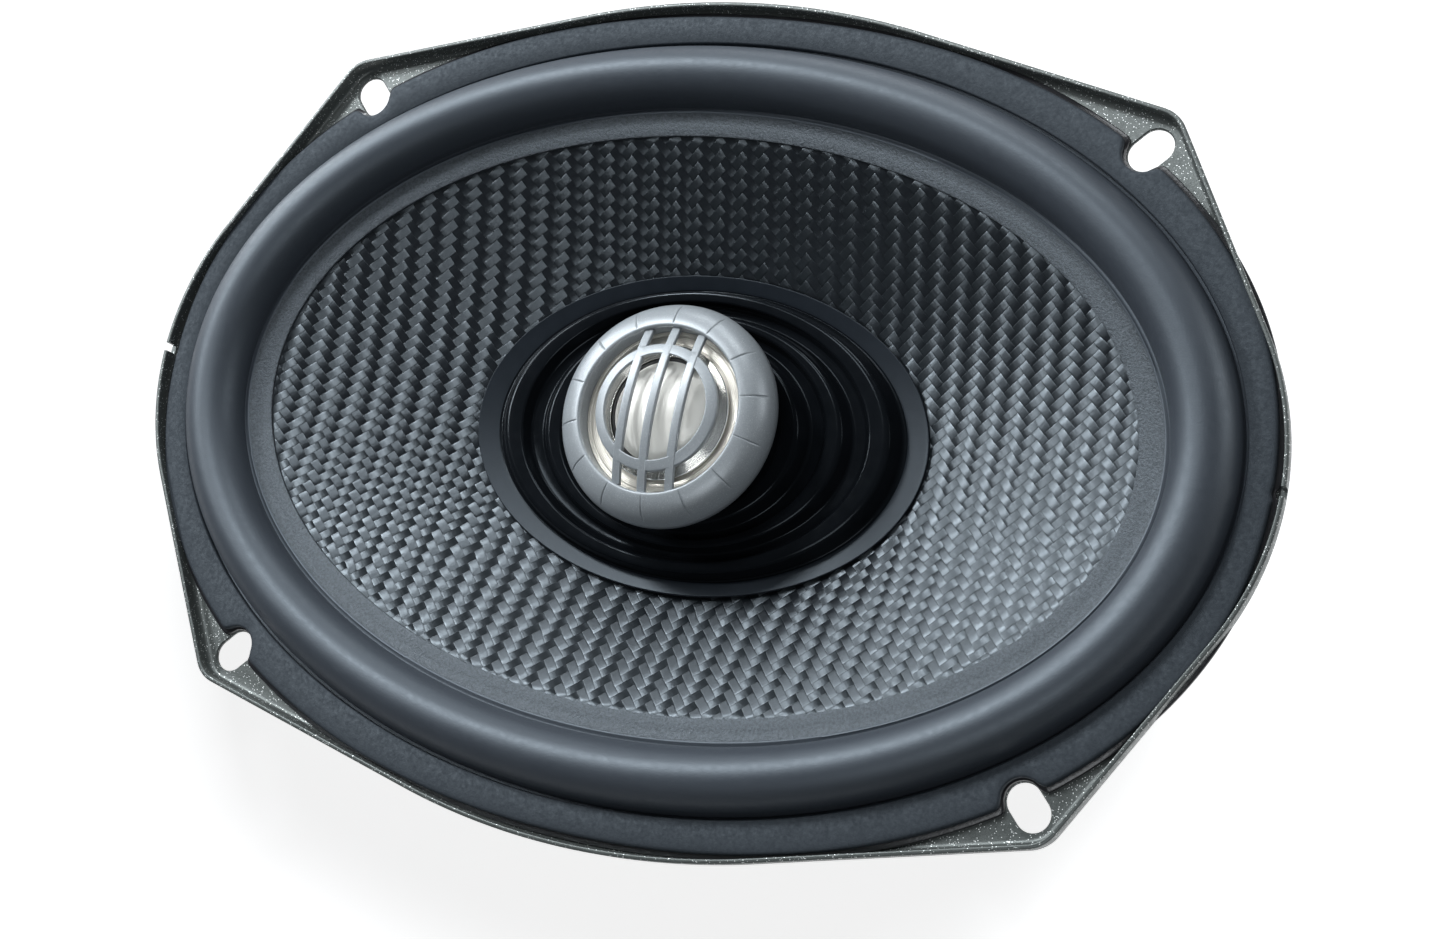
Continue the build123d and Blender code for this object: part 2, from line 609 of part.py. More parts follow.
def tinsel_leads():
    """Two limp leads from the tabs through the windows to the eyelets."""
    leads = []
    for side in (-1, 1):
        width = POSITIVE_WIDTH if side < 0 else NEGATIVE_WIDTH
        start = on_board(side * (TAB_X + width / 2), 3.2, BOARD_THICK + TINSEL_R + 0.2)
        bend = on_board(side * 20.0, 4.5, BOARD_THICK + TINSEL_R + 0.6)
        points = [
            start, bend, (side * 22.0, -60.0, -24.0), (side * 18.5, -45.0, -27.5),
            (side * 15.5, -33.0, -26.5), (side * EYELET_X, EYELET_Y, EYELET_Z - 3.0),
            (side * EYELET_X, EYELET_Y, EYELET_Z),
        ]
        leads.append(wire(points, TINSEL_R, 1.6))
    return group(leads)


PARTS = {
    "basket": basket,
    "front_gasket": front_gasket,
    "surround": surround,
    "cone": cone,
    "centre_ring": centre_ring,
    "coil_former": coil_former,
    "voice_coil": voice_coil,
    "spider": spider,
    "top_plate": top_plate,
    "motor_rivets": motor_rivets,
    "ring_magnet": ring_magnet,
    "yoke": yoke,
    "magnet_boot": magnet_boot,
    "post_washer": post_washer,
    "post_bolt": post_bolt,
    "tweeter_post": tweeter_post,
    "tweeter_housing": tweeter_housing,
    "tweeter_bezel": tweeter_bezel,
    "tweeter_guard": tweeter_guard,
    "tweeter_faceplate": tweeter_faceplate,
    "tweeter_trim_ring": tweeter_trim_ring,
    "tweeter_suspension": tweeter_suspension,
    "tweeter_dome": tweeter_dome,
    "tweeter_coil_former": tweeter_coil_former,
    "tweeter_coil": tweeter_coil,
    "tweeter_cup": tweeter_cup,
    "tweeter_magnet": lambda: ring(0, 9.0, TWEETER_CUP_Z + 2, -0.6),
    "tweeter_pole_cap": lambda: ring(0, 9.6, -0.6, 1.2),
    "tweeter_felt": lambda: ring(0, 7.0, 1.2, 2.4),
    "terminal_board": terminal_board,
    "terminal_rivets": terminal_rivets,
    "positive_tab": lambda: tab(-1, POSITIVE_WIDTH, POSITIVE_THICK),
    "negative_tab": lambda: tab(1, NEGATIVE_WIDTH, NEGATIVE_THICK),
    "crossover_capacitor": crossover_capacitor,
    "capacitor_leads": capacitor_leads,
    "tweeter_leads": tweeter_leads,
    "tinsel_eyelets": tinsel_eyelets,
    "tinsel_leads": tinsel_leads,
}

for name, make in PARTS.items():
    save(make(), name)
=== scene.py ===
"""Looks of the coaxial car speaker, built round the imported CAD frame."""

import math

import bpy
import numpy as np
from mathutils import Matrix, Vector


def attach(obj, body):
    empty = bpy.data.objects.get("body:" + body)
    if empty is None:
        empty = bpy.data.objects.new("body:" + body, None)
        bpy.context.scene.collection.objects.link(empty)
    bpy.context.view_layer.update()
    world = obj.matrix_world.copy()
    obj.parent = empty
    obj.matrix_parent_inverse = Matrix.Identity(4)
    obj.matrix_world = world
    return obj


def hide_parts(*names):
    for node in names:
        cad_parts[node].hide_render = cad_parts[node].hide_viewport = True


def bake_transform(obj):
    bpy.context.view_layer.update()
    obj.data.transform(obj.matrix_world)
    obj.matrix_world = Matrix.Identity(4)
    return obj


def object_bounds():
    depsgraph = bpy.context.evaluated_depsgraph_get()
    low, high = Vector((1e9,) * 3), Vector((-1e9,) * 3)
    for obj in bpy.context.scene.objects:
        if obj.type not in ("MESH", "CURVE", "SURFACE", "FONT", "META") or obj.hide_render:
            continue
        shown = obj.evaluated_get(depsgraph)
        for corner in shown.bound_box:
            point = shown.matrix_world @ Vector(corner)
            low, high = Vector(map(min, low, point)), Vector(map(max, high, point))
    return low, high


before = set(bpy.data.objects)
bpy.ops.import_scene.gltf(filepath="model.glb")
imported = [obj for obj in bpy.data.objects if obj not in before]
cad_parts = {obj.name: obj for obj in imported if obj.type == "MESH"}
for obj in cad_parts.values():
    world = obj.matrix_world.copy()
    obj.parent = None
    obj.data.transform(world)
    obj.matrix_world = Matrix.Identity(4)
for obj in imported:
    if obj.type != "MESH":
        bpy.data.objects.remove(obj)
CAD_BOX = [list(corner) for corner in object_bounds()]

# All sizes below are millimetres in the frame's own axes, turned into metres by MM.
MM = 0.001
TURN = 2 * math.pi

# ---- driving dimensions -----------------------------------------------------------------
SHEET = 0.9
FLANGE_X, FLANGE_Y = 118.0, 84.3
SIDE_ARC_R, END_ARC_R = 150.6, 56.0
EAR_X, EAR_Y, EAR_ROUND = 88.4, 66.8, 7.0
LIP_TOP = 4.2
SLOT_X, SLOT_Y, SLOT_ANGLE = 83.7, 60.4, math.radians(47)
SLOT_R, SLOT_HALF = 3.25, 1.3
BODY_A, BODY_B = 109.5, 75.0
SKIRT_A, SKIRT_B, SKIRT_Z = 108.7, 74.2, -8.0
SHELF_R, SHELF_Z = 52.0, -36.0
CUP_R, SEAT_R, SEAT_Z, SEAT_HOLE_R = 46.0, 44.0, -48.0, 18.6
GASKET_A, GASKET_B, GASKET_POWER = 116.8, 82.8, 2.1
GASKET_TOP_Z = 3.0
ROLL_A, ROLL_B, ROLL_RA, ROLL_RB = 103.75, 69.0, 6.35, 6.2
ROLL_FOOT_Z, ROLL_TOP_Z = 1.5, 8.9
RUBBER = 0.8
RIM_A, RIM_B = 97.0, 62.4
BREAK_A, BREAK_B, BREAK_Z = 91.5, 57.3, -0.4
NECK_R, NECK_Z, NECK_BOTTOM_Z = 16.9, -23.5, -26.5
PAPER = 0.7
FORMER_R = 16.3
# Each leg of the basket: its direction in degrees and half its width.
LEGS = [(35, 9), (90, 9), (145, 9), (215, 9), (270, 17), (325, 9)]
TOW = 1.70
BAND_A, BAND_B = 110.6, 75.7
BEZEL_R, SCORES = 22.2, 14
GUARD_R, GUARD_RISE, GUARD_TOP_Z = 16.4, 3.9, 9.0
GUARD_CURVE = (GUARD_R ** 2 + GUARD_RISE ** 2) / (2 * GUARD_RISE)
LEAD_X, LEAD_Y = 14.0, -24.4
TAB_WIDTH = {-1: 4.75, 1: 2.8}
AXIS_GAP = 0.02

# Tints of the black parts' gloss and of the room's light.
BLUE_SHEEN = (0.80, 0.91, 1.0, 1.0)
LIGHT_TONE = (0.93, 0.97, 1.0)


# ---- mesh building ----------------------------------------------------------------------
def angles(count):
    """Angles once round, without the last."""
    return np.arange(count) * TURN / count


def oval(a, b, z, count=360):
    """Closed loop of points round an oval."""
    t = angles(count)
    return np.stack([a * np.cos(t), b * np.sin(t), np.full(count, float(z))], 1)


def soften(loops, radii, steps, closed=True):
    """Rounds the bends between neighbouring loops, each by its own radius."""
    made = []
    count = len(loops)
    for k, (loop, radius) in enumerate(zip(loops, radii)):
        ends = not closed and k in (0, count - 1)
        if radius <= 0 or ends:
            made.append(loop)
            continue
        before = loops[k - 1] - loop
        after = loops[(k + 1) % count] - loop
        far_b = np.linalg.norm(before, axis=1, keepdims=True)
        far_a = np.linalg.norm(after, axis=1, keepdims=True)
        first = loop + before * np.minimum(radius / far_b, 0.45)
        last = loop + after * np.minimum(radius / far_a, 0.45)
        for step in range(steps + 1):
            u = step / steps
            made.append((1 - u) ** 2 * first + 2 * u * (1 - u) * loop + u ** 2 * last)
    return made


def strip_faces(sections, around, closed):
    """Quads between neighbouring loops of points."""
    k = np.arange(sections if closed else sections - 1)[:, None]
    j = np.arange(around)[None, :]
    a = k * around + j
    b = k * around + (j + 1) % around
    c = ((k + 1) % sections) * around + (j + 1) % around
    d = ((k + 1) % sections) * around + j
    return np.stack([a, b, c, d], -1).reshape(-1, 4)


def make_object(name, points, faces, material, crease):
    """Mesh object from millimetre points, facing outwards, smooth but for its sharp bends."""
    mesh = bpy.data.meshes.new(name)
    mesh.from_pydata((np.asarray(points, float) * MM).tolist(), [], [list(f) for f in faces])
    mesh.validate()
    obj = bpy.data.objects.new(name, mesh)
    bpy.context.scene.collection.objects.link(obj)
    if signed_volume(mesh) < 0:
        mesh.flip_normals()
    shade(mesh, crease)
    if material:
        mesh.materials.append(material)
    return obj


def signed_volume(mesh):
    """Volume that the faces enclose, negative when they face inwards."""
    mesh.calc_loop_triangles()
    tris = np.zeros(len(mesh.loop_triangles) * 3, np.int32)
    mesh.loop_triangles.foreach_get("vertices", tris)
    co = np.zeros(len(mesh.vertices) * 3)
    mesh.vertices.foreach_get("co", co)
    p = co.reshape(-1, 3)[tris.reshape(-1, 3)]
    return float(np.einsum("ij,ij->i", p[:, 0], np.cross(p[:, 1], p[:, 2])).sum())


def shade(mesh, crease):
    """Smooth shading with sharp edges where faces meet at more than the crease angle."""
    mesh.shade_smooth()
    mesh.set_sharp_from_angle(angle=math.radians(crease))


def loops_object(name, loops, material, closed=True, crease=38.0):
    """Object from closed loops of points; an open one is capped at both ends."""
    around = len(loops[0])
    points = np.concatenate(loops)
    faces = strip_faces(len(loops), around, closed).tolist()
    if not closed:
        faces.append(list(range(around))[::-1])
        last = (len(loops) - 1) * around
        faces.append([last + j for j in range(around)])
    return make_object(name, points, faces, material, crease)


def lathe(name, section, material, radii, count, steps=3, crease=38.0, closed=True):
    """Round ring from a closed (radius, z) section with rounded bends."""
    loops = [oval(max(r, AXIS_GAP), max(r, AXIS_GAP), z, count) for r, z in section]
    rounding = [radii] * len(loops) if isinstance(radii, (int, float)) else radii
    return loops_object(name, soften(loops, rounding, steps, closed), material, closed, crease)


def turned(name, section, material, radii, count, crease=38.0):
    """Solid of revolution from an open (radius, z) outline, closed by its two end caps."""
    return lathe(name, section, material, radii, count, crease=crease, closed=False)


def prism(name, outline, levels):
    """Upright cutter from a plan outline; levels are (z, growth) pairs."""
    outline = np.asarray(outline, float)
    loops = []
    for z, growth in levels:
        plan = grow(outline, growth)
        loops.append(np.column_stack([plan, np.full(len(plan), z)]))
    return loops_object(name, loops, None, closed=False)


def grow(outline, amount):
    """Plan outline moved outwards along its normals; it runs anticlockwise."""
    if not amount:
        return outline
    ahead = np.roll(outline, -1, 0) - np.roll(outline, 1, 0)
    normal = np.stack([ahead[:, 1], -ahead[:, 0]], 1)
    return outline + amount * normal / np.linalg.norm(normal, axis=1, keepdims=True)


def carve(obj, cutters, operation="DIFFERENCE", crease=38.0):
    """Applies a boolean with the cutters to the object's mesh and removes them."""
    for cutter in cutters:
        modifier = obj.modifiers.new("cut", "BOOLEAN")
        modifier.operation = operation
        modifier.solver = "MANIFOLD"
        modifier.object = cutter
    bpy.context.view_layer.update()
    graph = bpy.context.evaluated_depsgraph_get()
    mesh = bpy.data.meshes.new_from_object(obj.evaluated_get(graph))
    obj.modifiers.clear()
    obj.data = mesh
    for cutter in cutters:
        bpy.data.objects.remove(cutter)
    shade(mesh, crease)
    return obj


def join_meshes(name, objects, crease=38.0):
    """Several made objects as one, keeping their materials."""
    for other in bpy.context.selected_objects:
        other.select_set(False)
    for obj in objects:
        obj.select_set(True)
    bpy.context.view_layer.objects.active = objects[0]
    with bpy.context.temp_override(
        active_object=objects[0], selected_editable_objects=objects, selected_objects=objects
    ):
        bpy.ops.object.join()
    joined = objects[0]
    joined.name = name
    joined.select_set(False)
    shade(joined.data, crease)
    return joined


def radial_blend(obj, share):
    """Works out each vertex's share from 0 at body a to 1 at body b, lays the vertices on a line by it for a
    moment and puts them back.
    """
    mesh = obj.data
    count = len(mesh.vertices)
    rest = np.zeros(count * 3)
    mesh.vertices.foreach_get("co", rest)
    share = np.clip(share(rest.reshape(-1, 3) / MM), 0, 1)
    line = np.zeros((count, 3))
    line[:, 0] = 0.5 - np.sin(np.arcsin(1 - 2 * share) / 3)
    mesh.vertices.foreach_set("co", line.ravel())
    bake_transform(obj)
    mesh.vertices.foreach_set("co", rest)
    mesh.update()


# ---- materials --------------------------------------------------------------------------
class Shader:
    """One procedural material with short calls for its nodes."""

    def __init__(self, name, **values):
        self.material = bpy.data.materials.new(name)
        self.material.use_nodes = True
        self.nodes = self.material.node_tree.nodes
        self.links = self.material.node_tree.links
        self.bsdf = self.nodes["Principled BSDF"]
        for socket, value in values.items():
            self.bsdf.inputs[socket.replace("_", " ")].default_value = value
        self.bumped = None

    def place(self, scale=1.0):
        """Object coordinates in millimetres, times a scale."""
        coords = self.nodes.new("ShaderNodeTexCoord")
        return self.stretched(coords.outputs["Object"], (scale / MM,) * 3)

    def stretched(self, place, factors):
        """Coordinates times a factor along each axis."""
        node = self.nodes.new("ShaderNodeVectorMath")
        node.operation = "MULTIPLY"
        self.links.new(place, node.inputs[0])
        node.inputs[1].default_value = factors
        return node.outputs["Vector"]

    def axes(self, scale=1.0):
        """The X, Y and Z of the object coordinates as separate numbers."""
        split = self.nodes.new("ShaderNodeSeparateXYZ")
        self.links.new(self.place(scale), split.inputs[0])
        return split.outputs

    def math(self, operation, first, second=None):
        """One step of arithmetic on numbers or sockets."""
        node = self.nodes.new("ShaderNodeMath")
        node.operation = operation
        for socket, value in zip(node.inputs, (first, second)):
            if value is not None:
                self.feed(socket, value)
        return node.outputs[0]

    def feed(self, socket, value):
        """Links a socket, or sets the input's own value."""
        if isinstance(value, bpy.types.NodeSocket):
            self.links.new(value, socket)
        else:
            socket.default_value = value

    def noise(self, scale, detail, rough=0.5, stretch=(1, 1, 1), degrees=0):
        """Noise from 0 to 1; the scale is in features per millimetre."""
        node = self.nodes.new("ShaderNodeTexNoise")
        node.inputs["Scale"].default_value = scale
        node.inputs["Detail"].default_value = detail
        node.inputs["Roughness"].default_value = rough
        place = self.place()
        if degrees:
            turn = self.nodes.new("ShaderNodeVectorRotate")
            turn.inputs["Angle"].default_value = math.radians(degrees)
            self.links.new(place, turn.inputs["Vector"])
            place = turn.outputs[0]
        if stretch != (1, 1, 1):
            place = self.stretched(place, stretch)
        self.links.new(place, node.inputs["Vector"])
        return node.outputs["Fac"]

    def specks(self, scale, share):
        """Sparse bright specks: 1 on that share of small cells, else 0."""
        node = self.nodes.new("ShaderNodeTexVoronoi")
        node.inputs["Scale"].default_value = scale
        self.links.new(self.place(), node.inputs["Vector"])
        split = self.nodes.new("ShaderNodeSeparateColor")
        self.links.new(node.outputs["Color"], split.inputs[0])
        chosen = self.math("LESS_THAN", split.outputs[0], share)
        near = self.math("LESS_THAN", node.outputs["Distance"], 0.42)
        return self.math("MULTIPLY", chosen, near)

    def remap(self, value, low, high, to_low, to_high, smooth=False):
        """A number carried from one range to another."""
        node = self.nodes.new("ShaderNodeMapRange")
        node.interpolation_type = "SMOOTHSTEP" if smooth else "LINEAR"
        for socket, number in zip(node.inputs, (value, low, high, to_low, to_high)):
            self.feed(socket, number)
        return node.outputs[0]

    def number_mix(self, factor, first, second):
        """Number between two others."""
        node = self.nodes.new("ShaderNodeMix")
        self.feed(node.inputs[0], factor)
        self.feed(node.inputs[2], first)
        self.feed(node.inputs[3], second)
        return node.outputs[0]

    def mix(self, factor, first, second):
        """Colour mix; colours are (r, g, b) or sockets."""
        node = self.nodes.new("ShaderNodeMix")
        node.data_type = "RGBA"
        self.feed(node.inputs[0], factor)
        for socket, value in ((node.inputs[6], first), (node.inputs[7], second)):
            self.feed(socket, value if isinstance(value, bpy.types.NodeSocket) else (*value, 1.0))
        return node.outputs[2]

    def color(self, value):
        self.feed(self.bsdf.inputs["Base Color"], value)

    def rough(self, value, low, high):
        """Roughness that follows a noise between two values."""
        self.feed(self.bsdf.inputs["Roughness"], self.remap(value, 0.3, 0.7, low, high))

    def bump(self, height, depth):
        """Adds relief; depth is in millimetres."""
        node = self.nodes.new("ShaderNodeBump")
        node.inputs["Distance"].default_value = depth * MM
        node.inputs["Strength"].default_value = 1.0
        self.links.new(height, node.inputs["Height"])
        if self.bumped:
            self.links.new(self.bumped, node.inputs["Normal"])
        self.bumped = node.outputs["Normal"]
        self.links.new(self.bumped, self.bsdf.inputs["Normal"])

    def done(self):
        return self.material


def frame_paint():
    """Grey-green metallic paint over sheet steel, with fine glints painted in as near-white specks."""
    s = Shader("frame_paint", Metallic=0.45, Roughness=0.4)
    base = s.mix(s.noise(0.05, 3), (0.100, 0.112, 0.108), (0.125, 0.138, 0.134))
    fine = s.mix(s.remap(s.noise(6.0, 2), 0.35, 0.65, 0, 1), base, (0.075, 0.083, 0.081))
    # Painted glints: a share of tiny cells is painted near white, standing in for light caught by the
    # paint's flakes.
    painted_glints = s.specks(4.5, 0.09)
    s.color(s.mix(painted_glints, fine, (0.85, 0.88, 0.87)))
    s.rough(s.noise(0.6, 3), 0.34, 0.48)
    s.bump(s.noise(3.0, 3), 0.03)
    return s.done()


def gasket_foam():
    """Dense dark foam, matte with a fine closed-cell grain."""
    s = Shader("gasket_foam", Roughness=0.62, Specular_IOR_Level=0.7, Specular_Tint=BLUE_SHEEN)
    s.color(s.mix(s.noise(0.4, 4), (0.010, 0.013, 0.018), (0.019, 0.023, 0.029)))
    s.rough(s.noise(1.5, 3), 0.62, 0.82)
    s.bump(s.noise(2.8, 3), 0.05)
    return s.done()


def surround_rubber():
    """Satin moulded rubber, dark blue-grey."""
    s = Shader("surround_rubber", Roughness=0.46, Specular_IOR_Level=0.75, Specular_Tint=BLUE_SHEEN)
    s.color(s.mix(s.noise(0.08, 4), (0.026, 0.031, 0.040), (0.035, 0.041, 0.051)))
    s.rough(s.noise(0.9, 4), 0.44, 0.52)
    s.bump(s.noise(3.0, 2), 0.02)
    s.bump(s.noise(0.35, 3), 0.03)
    return s.done()


def landing_rubber():
    """The surround's inner landing, with a fine matte texture that catches light."""
    s = Shader("landing_rubber", Roughness=0.50, Specular_IOR_Level=1.0, Specular_Tint=BLUE_SHEEN)
    grain = s.noise(1.9, 4, 0.75)
    s.color(s.mix(s.remap(grain, 0.4, 0.6, 0, 1), (0.005, 0.006, 0.008), (0.040, 0.045, 0.053)))
    s.bump(grain, 0.22)
    return s.done()


def edge_rubber():
    """Bare glossy edge of the surround's flange."""
    s = Shader("edge_rubber", Roughness=0.3)
    s.color(s.mix(s.noise(0.5, 3), (0.010, 0.010, 0.012), (0.020, 0.020, 0.023)))
    s.bump(s.noise(1.2, 3), 0.05)
    return s.done()


def cone_weave():
    """Two by two twill of flat tows at 45 degrees to the oval, under a satin resin."""
    s = Shader(
        "cone_weave", Roughness=0.42, Specular_IOR_Level=1.0, Anisotropic=0.96,
        Specular_Tint=BLUE_SHEEN
    )
    axes = s.axes()
    wobble = s.math("MULTIPLY", s.math("SUBTRACT", s.noise(0.09, 2), 0.5), 1.1)
    x = s.math("ADD", axes[0], wobble)
    y = s.math("ADD", axes[1], wobble)
    pitch = TOW * math.sqrt(2)
    u = s.math("ADD", s.math("DIVIDE", s.math("SUBTRACT", x, y), pitch), 400.0)
    v = s.math("ADD", s.math("DIVIDE", s.math("ADD", x, y), pitch), 400.0)
    i, j = s.math("FLOOR", u), s.math("FLOOR", v)
    over = s.math("LESS_THAN", s.math("MODULO", s.math("ADD", i, j), 4.0), 1.5)
    across = s.number_mix(over, s.math("FRACT", v), s.math("FRACT", u))
    run_a = s.math("SUBTRACT", s.math("MODULO", s.math("ADD", i, v), 4.0), 1.0)
    run_b = s.math("SUBTRACT", s.math("MODULO", s.math("ADD", j, u), 4.0), 3.0)
    run = s.math("ABSOLUTE", s.number_mix(over, run_b, run_a))
    side = s.math("ABSOLUTE", s.math("SUBTRACT", s.math("MULTIPLY", across, 2.0), 1.0))
    arch = s.math("SUBTRACT", 1.0, s.math("MULTIPLY", s.math("POWER", run, 2.2), 0.6))
    shoulder = s.math("MULTIPLY", s.math("POWER", side, 7.0), 0.35)
    height = s.math("SUBTRACT", arch, shoulder)
    along_a, along_b = (s.noise(2.4, 2, 0.6, stretch, 45) for stretch in ((1, 0.12, 1), (0.12, 1, 1)))
    fibres = s.number_mix(over, along_a, along_b)
    # Painted sheen: the tows that lie one way are painted a little lighter than the others, for their
    # brighter reflection.
    tone = s.mix(over, (0.006, 0.007, 0.009), (0.009, 0.011, 0.013))
    tone = s.mix(s.remap(fibres, 0.35, 0.65, 0.0, 0.5), tone, (0.014, 0.017, 0.020))
    # Painted shade: the colour darkens to near black at the ends and sides of each float, where the tows dip
    # under each other.
    end = s.remap(run, 0.90, 1.0, 0.0, 0.85, True)
    edge = s.remap(side, 0.90, 1.0, 0.0, 0.55, True)
    s.color(s.mix(s.math("MAXIMUM", end, edge), tone, (0.002, 0.003, 0.004)))
    s.rough(fibres, 0.34, 0.46)
    turn = s.nodes.new("ShaderNodeMix")
    turn.data_type = "VECTOR"
    s.feed(turn.inputs[0], over)
    turn.inputs[4].default_value = (0.7071, 0.7071, 0.0)
    turn.inputs[5].default_value = (0.7071, -0.7071, 0.0)
    s.links.new(turn.outputs[1], s.bsdf.inputs["Tangent"])
    s.bump(height, 0.20)
    s.bump(fibres, 0.02)
    return s.done()


def cone_back_paper():
    """Rear of the cone: dark pressed pulp with short fibres."""
    s = Shader("cone_back_paper", Roughness=0.85)
    fibre = s.noise(1.4, 5, 0.7, (1, 0.3, 1))
    s.color(s.mix(fibre, (0.018, 0.018, 0.020), (0.045, 0.046, 0.050)))
    s.bump(fibre, 0.12)
    return s.done()


def gloss_black():
    """Glossy vacuum-formed plastic of the centre ring."""
    s = Shader("gloss_black", Roughness=0.17, Specular_IOR_Level=0.12, Specular_Tint=BLUE_SHEEN)
    s.color(s.mix(s.noise(0.2, 3), (0.003, 0.004, 0.005), (0.006, 0.007, 0.009)))
    s.rough(s.noise(0.5, 4), 0.14, 0.20)
    s.bump(s.noise(0.4, 2), 0.02)
    return s.done()


def satin_black():
    """Satin rim of the centre ring."""
    s = Shader("satin_black", Roughness=0.36, Specular_IOR_Level=0.24, Specular_Tint=BLUE_SHEEN)
    s.color(s.mix(s.noise(0.3, 3), (0.005, 0.007, 0.010), (0.010, 0.013, 0.018)))
    s.bump(s.noise(4.0, 2), 0.012)
    return s.done()


def bezel_paint():
    """Blue-grey satin paint with a fine metallic grain."""
    s = Shader("bezel_paint", Metallic=0.25, Roughness=0.38, Coat_Weight=0.15, Coat_Roughness=0.3)
    grain = s.noise(8.0, 2, 0.6)
    base = s.mix(s.remap(grain, 0.35, 0.65, 0, 1), (0.245, 0.268, 0.285), (0.335, 0.362, 0.385))
    s.color(s.mix(s.specks(7.0, 0.05), base, (0.50, 0.53, 0.56)))
    s.rough(grain, 0.32, 0.46)
    s.bump(grain, 0.015)
    return s.done()


def metal(name, color, roughness, grain=0.0, rings=False, metallic=1.0):
    """Bare or plated metal; rings gives the fine circular marks of turning."""
    s = Shader(name, Metallic=metallic, Roughness=roughness)
    darker = tuple(0.94 * c for c in color)
    s.color(s.mix(s.noise(0.35, 4), darker, color))
    s.rough(s.noise(1.2, 4), roughness * 0.9, roughness * 1.1)
    if rings:
        squares = [s.math("MULTIPLY", axis, axis) for axis in list(s.axes())[:2]]
        radius = s.math("SQRT", s.math("ADD", *squares))
        s.bump(s.math("SINE", s.math("MULTIPLY", radius, TURN / 0.33)), 0.012)
    if grain:
        s.bump(s.noise(3.0, 4), grain)
    return s.done()


def plastic(name, dark, light, roughness, grain_scale, depth):
    """Moulded plastic or rubber with a soft grain."""
    s = Shader(name, Roughness=roughness)
    s.color(s.mix(s.noise(grain_scale / 6, 4), dark, light))
    s.rough(s.noise(grain_scale / 3, 3), roughness * 0.88, roughness * 1.12)
    s.bump(s.noise(grain_scale, 3), depth)
    return s.done()


def woven_cloth(name, dark, light, pitch, roughness=0.85):
    """Plain square weave, for the spider and the tweeter's suspension."""
    s = Shader(name, Roughness=roughness, Sheen_Weight=0.15)
    axes = s.axes(TURN / pitch)
    weave = s.math("MULTIPLY", s.math("SINE", axes[0]), s.math("SINE", axes[1]))
    # Painted shade and highlight: the colour follows the weave's relief, dark in its hollows and light on
    # its raised crossings.
    s.color(s.mix(s.remap(weave, -1, 1, 0, 1), dark, light))
    s.bump(weave, 0.10)
    s.bump(s.noise(2.0, 3), 0.05)
    return s.done()


def board_laminate():
    """Brown hardboard of the terminal board, with pressed fibres."""
    s = Shader("board_laminate", Roughness=0.62)
    fibre = s.noise(1.2, 5, 0.65, (1, 0.25, 0.25))
    s.color(s.mix(fibre, (0.055, 0.030, 0.015), (0.150, 0.090, 0.048)))
    s.bump(fibre, 0.05)
    return s.done()


def winding():
    """Copper wire laid in close turns about Z."""
    s = Shader("winding", Metallic=0.9, Roughness=0.3)
    turns = s.math("SINE", s.axes(TURN / 0.28)[2])
    # Painted shade: the colour follows the turns' relief, dark copper in the grooves between turns and
    # bright copper on their crowns.
    s.color(s.mix(s.remap(turns, -1, 1, 0, 1), (0.16, 0.045, 0.015), (0.62, 0.25, 0.10)))
    s.bump(turns, 0.08)
    return s.done()


MAT = {
    "frame": frame_paint(),
    "gasket": gasket_foam(),
    "surround": surround_rubber(),
    "landing": landing_rubber(),
    "edge": edge_rubber(),
    "weave": cone_weave(),
    "paper": cone_back_paper(),
    "gloss": gloss_black(),
    "satin": satin_black(),
    "bezel": bezel_paint(),
    "champagne": metal("champagne", (0.80, 0.76, 0.68), 0.32, rings=True, metallic=0.6),
    "polished": metal("polished", (0.90, 0.89, 0.86), 0.12),
    "dome": metal("dome_metal", (0.98, 0.96, 0.90), 0.48, metallic=0.3),
    "zinc": metal("zinc_plate", (0.62, 0.60, 0.54), 0.34, grain=0.02),
    "tin": metal("tin_plate", (0.74, 0.73, 0.71), 0.26, grain=0.02),
    "former": metal("former_foil", (0.60, 0.60, 0.62), 0.35),
    "winding": winding(),
    "ferrite": plastic("ferrite", (0.030, 0.030, 0.033), (0.060, 0.060, 0.064), 0.6, 2.5, 0.08),
    "boot": plastic("boot_rubber", (0.014, 0.014, 0.016), (0.026, 0.026, 0.029), 0.55, 2.2, 0.05),
    "plastic": plastic("post_plastic", (0.012, 0.012, 0.014), (0.022, 0.022, 0.025), 0.45, 3.0, 0.03),
    "sleeve": plastic("cap_sleeve", (0.010, 0.020, 0.085), (0.016, 0.030, 0.120), 0.3, 0.8, 0.02),
    "wire": plastic("lead_insulation", (0.016, 0.016, 0.018), (0.030, 0.030, 0.032), 0.5, 2.0, 0.02),
    "felt": plastic("felt", (0.02, 0.02, 0.02), (0.09, 0.09, 0.09), 0.95, 2.5, 0.25),
    "spider": woven_cloth("spider_cloth", (0.22, 0.10, 0.025), (0.52, 0.29, 0.085), 0.9),
    "tweeter_cloth": woven_cloth("tweeter_cloth", (0.012, 0.012, 0.012), (0.03, 0.03, 0.03), 0.4, 0.6),
    "board": board_laminate(),
    "tinsel": metal("tinsel", (0.66, 0.38, 0.20), 0.35, grain=0.05),
}


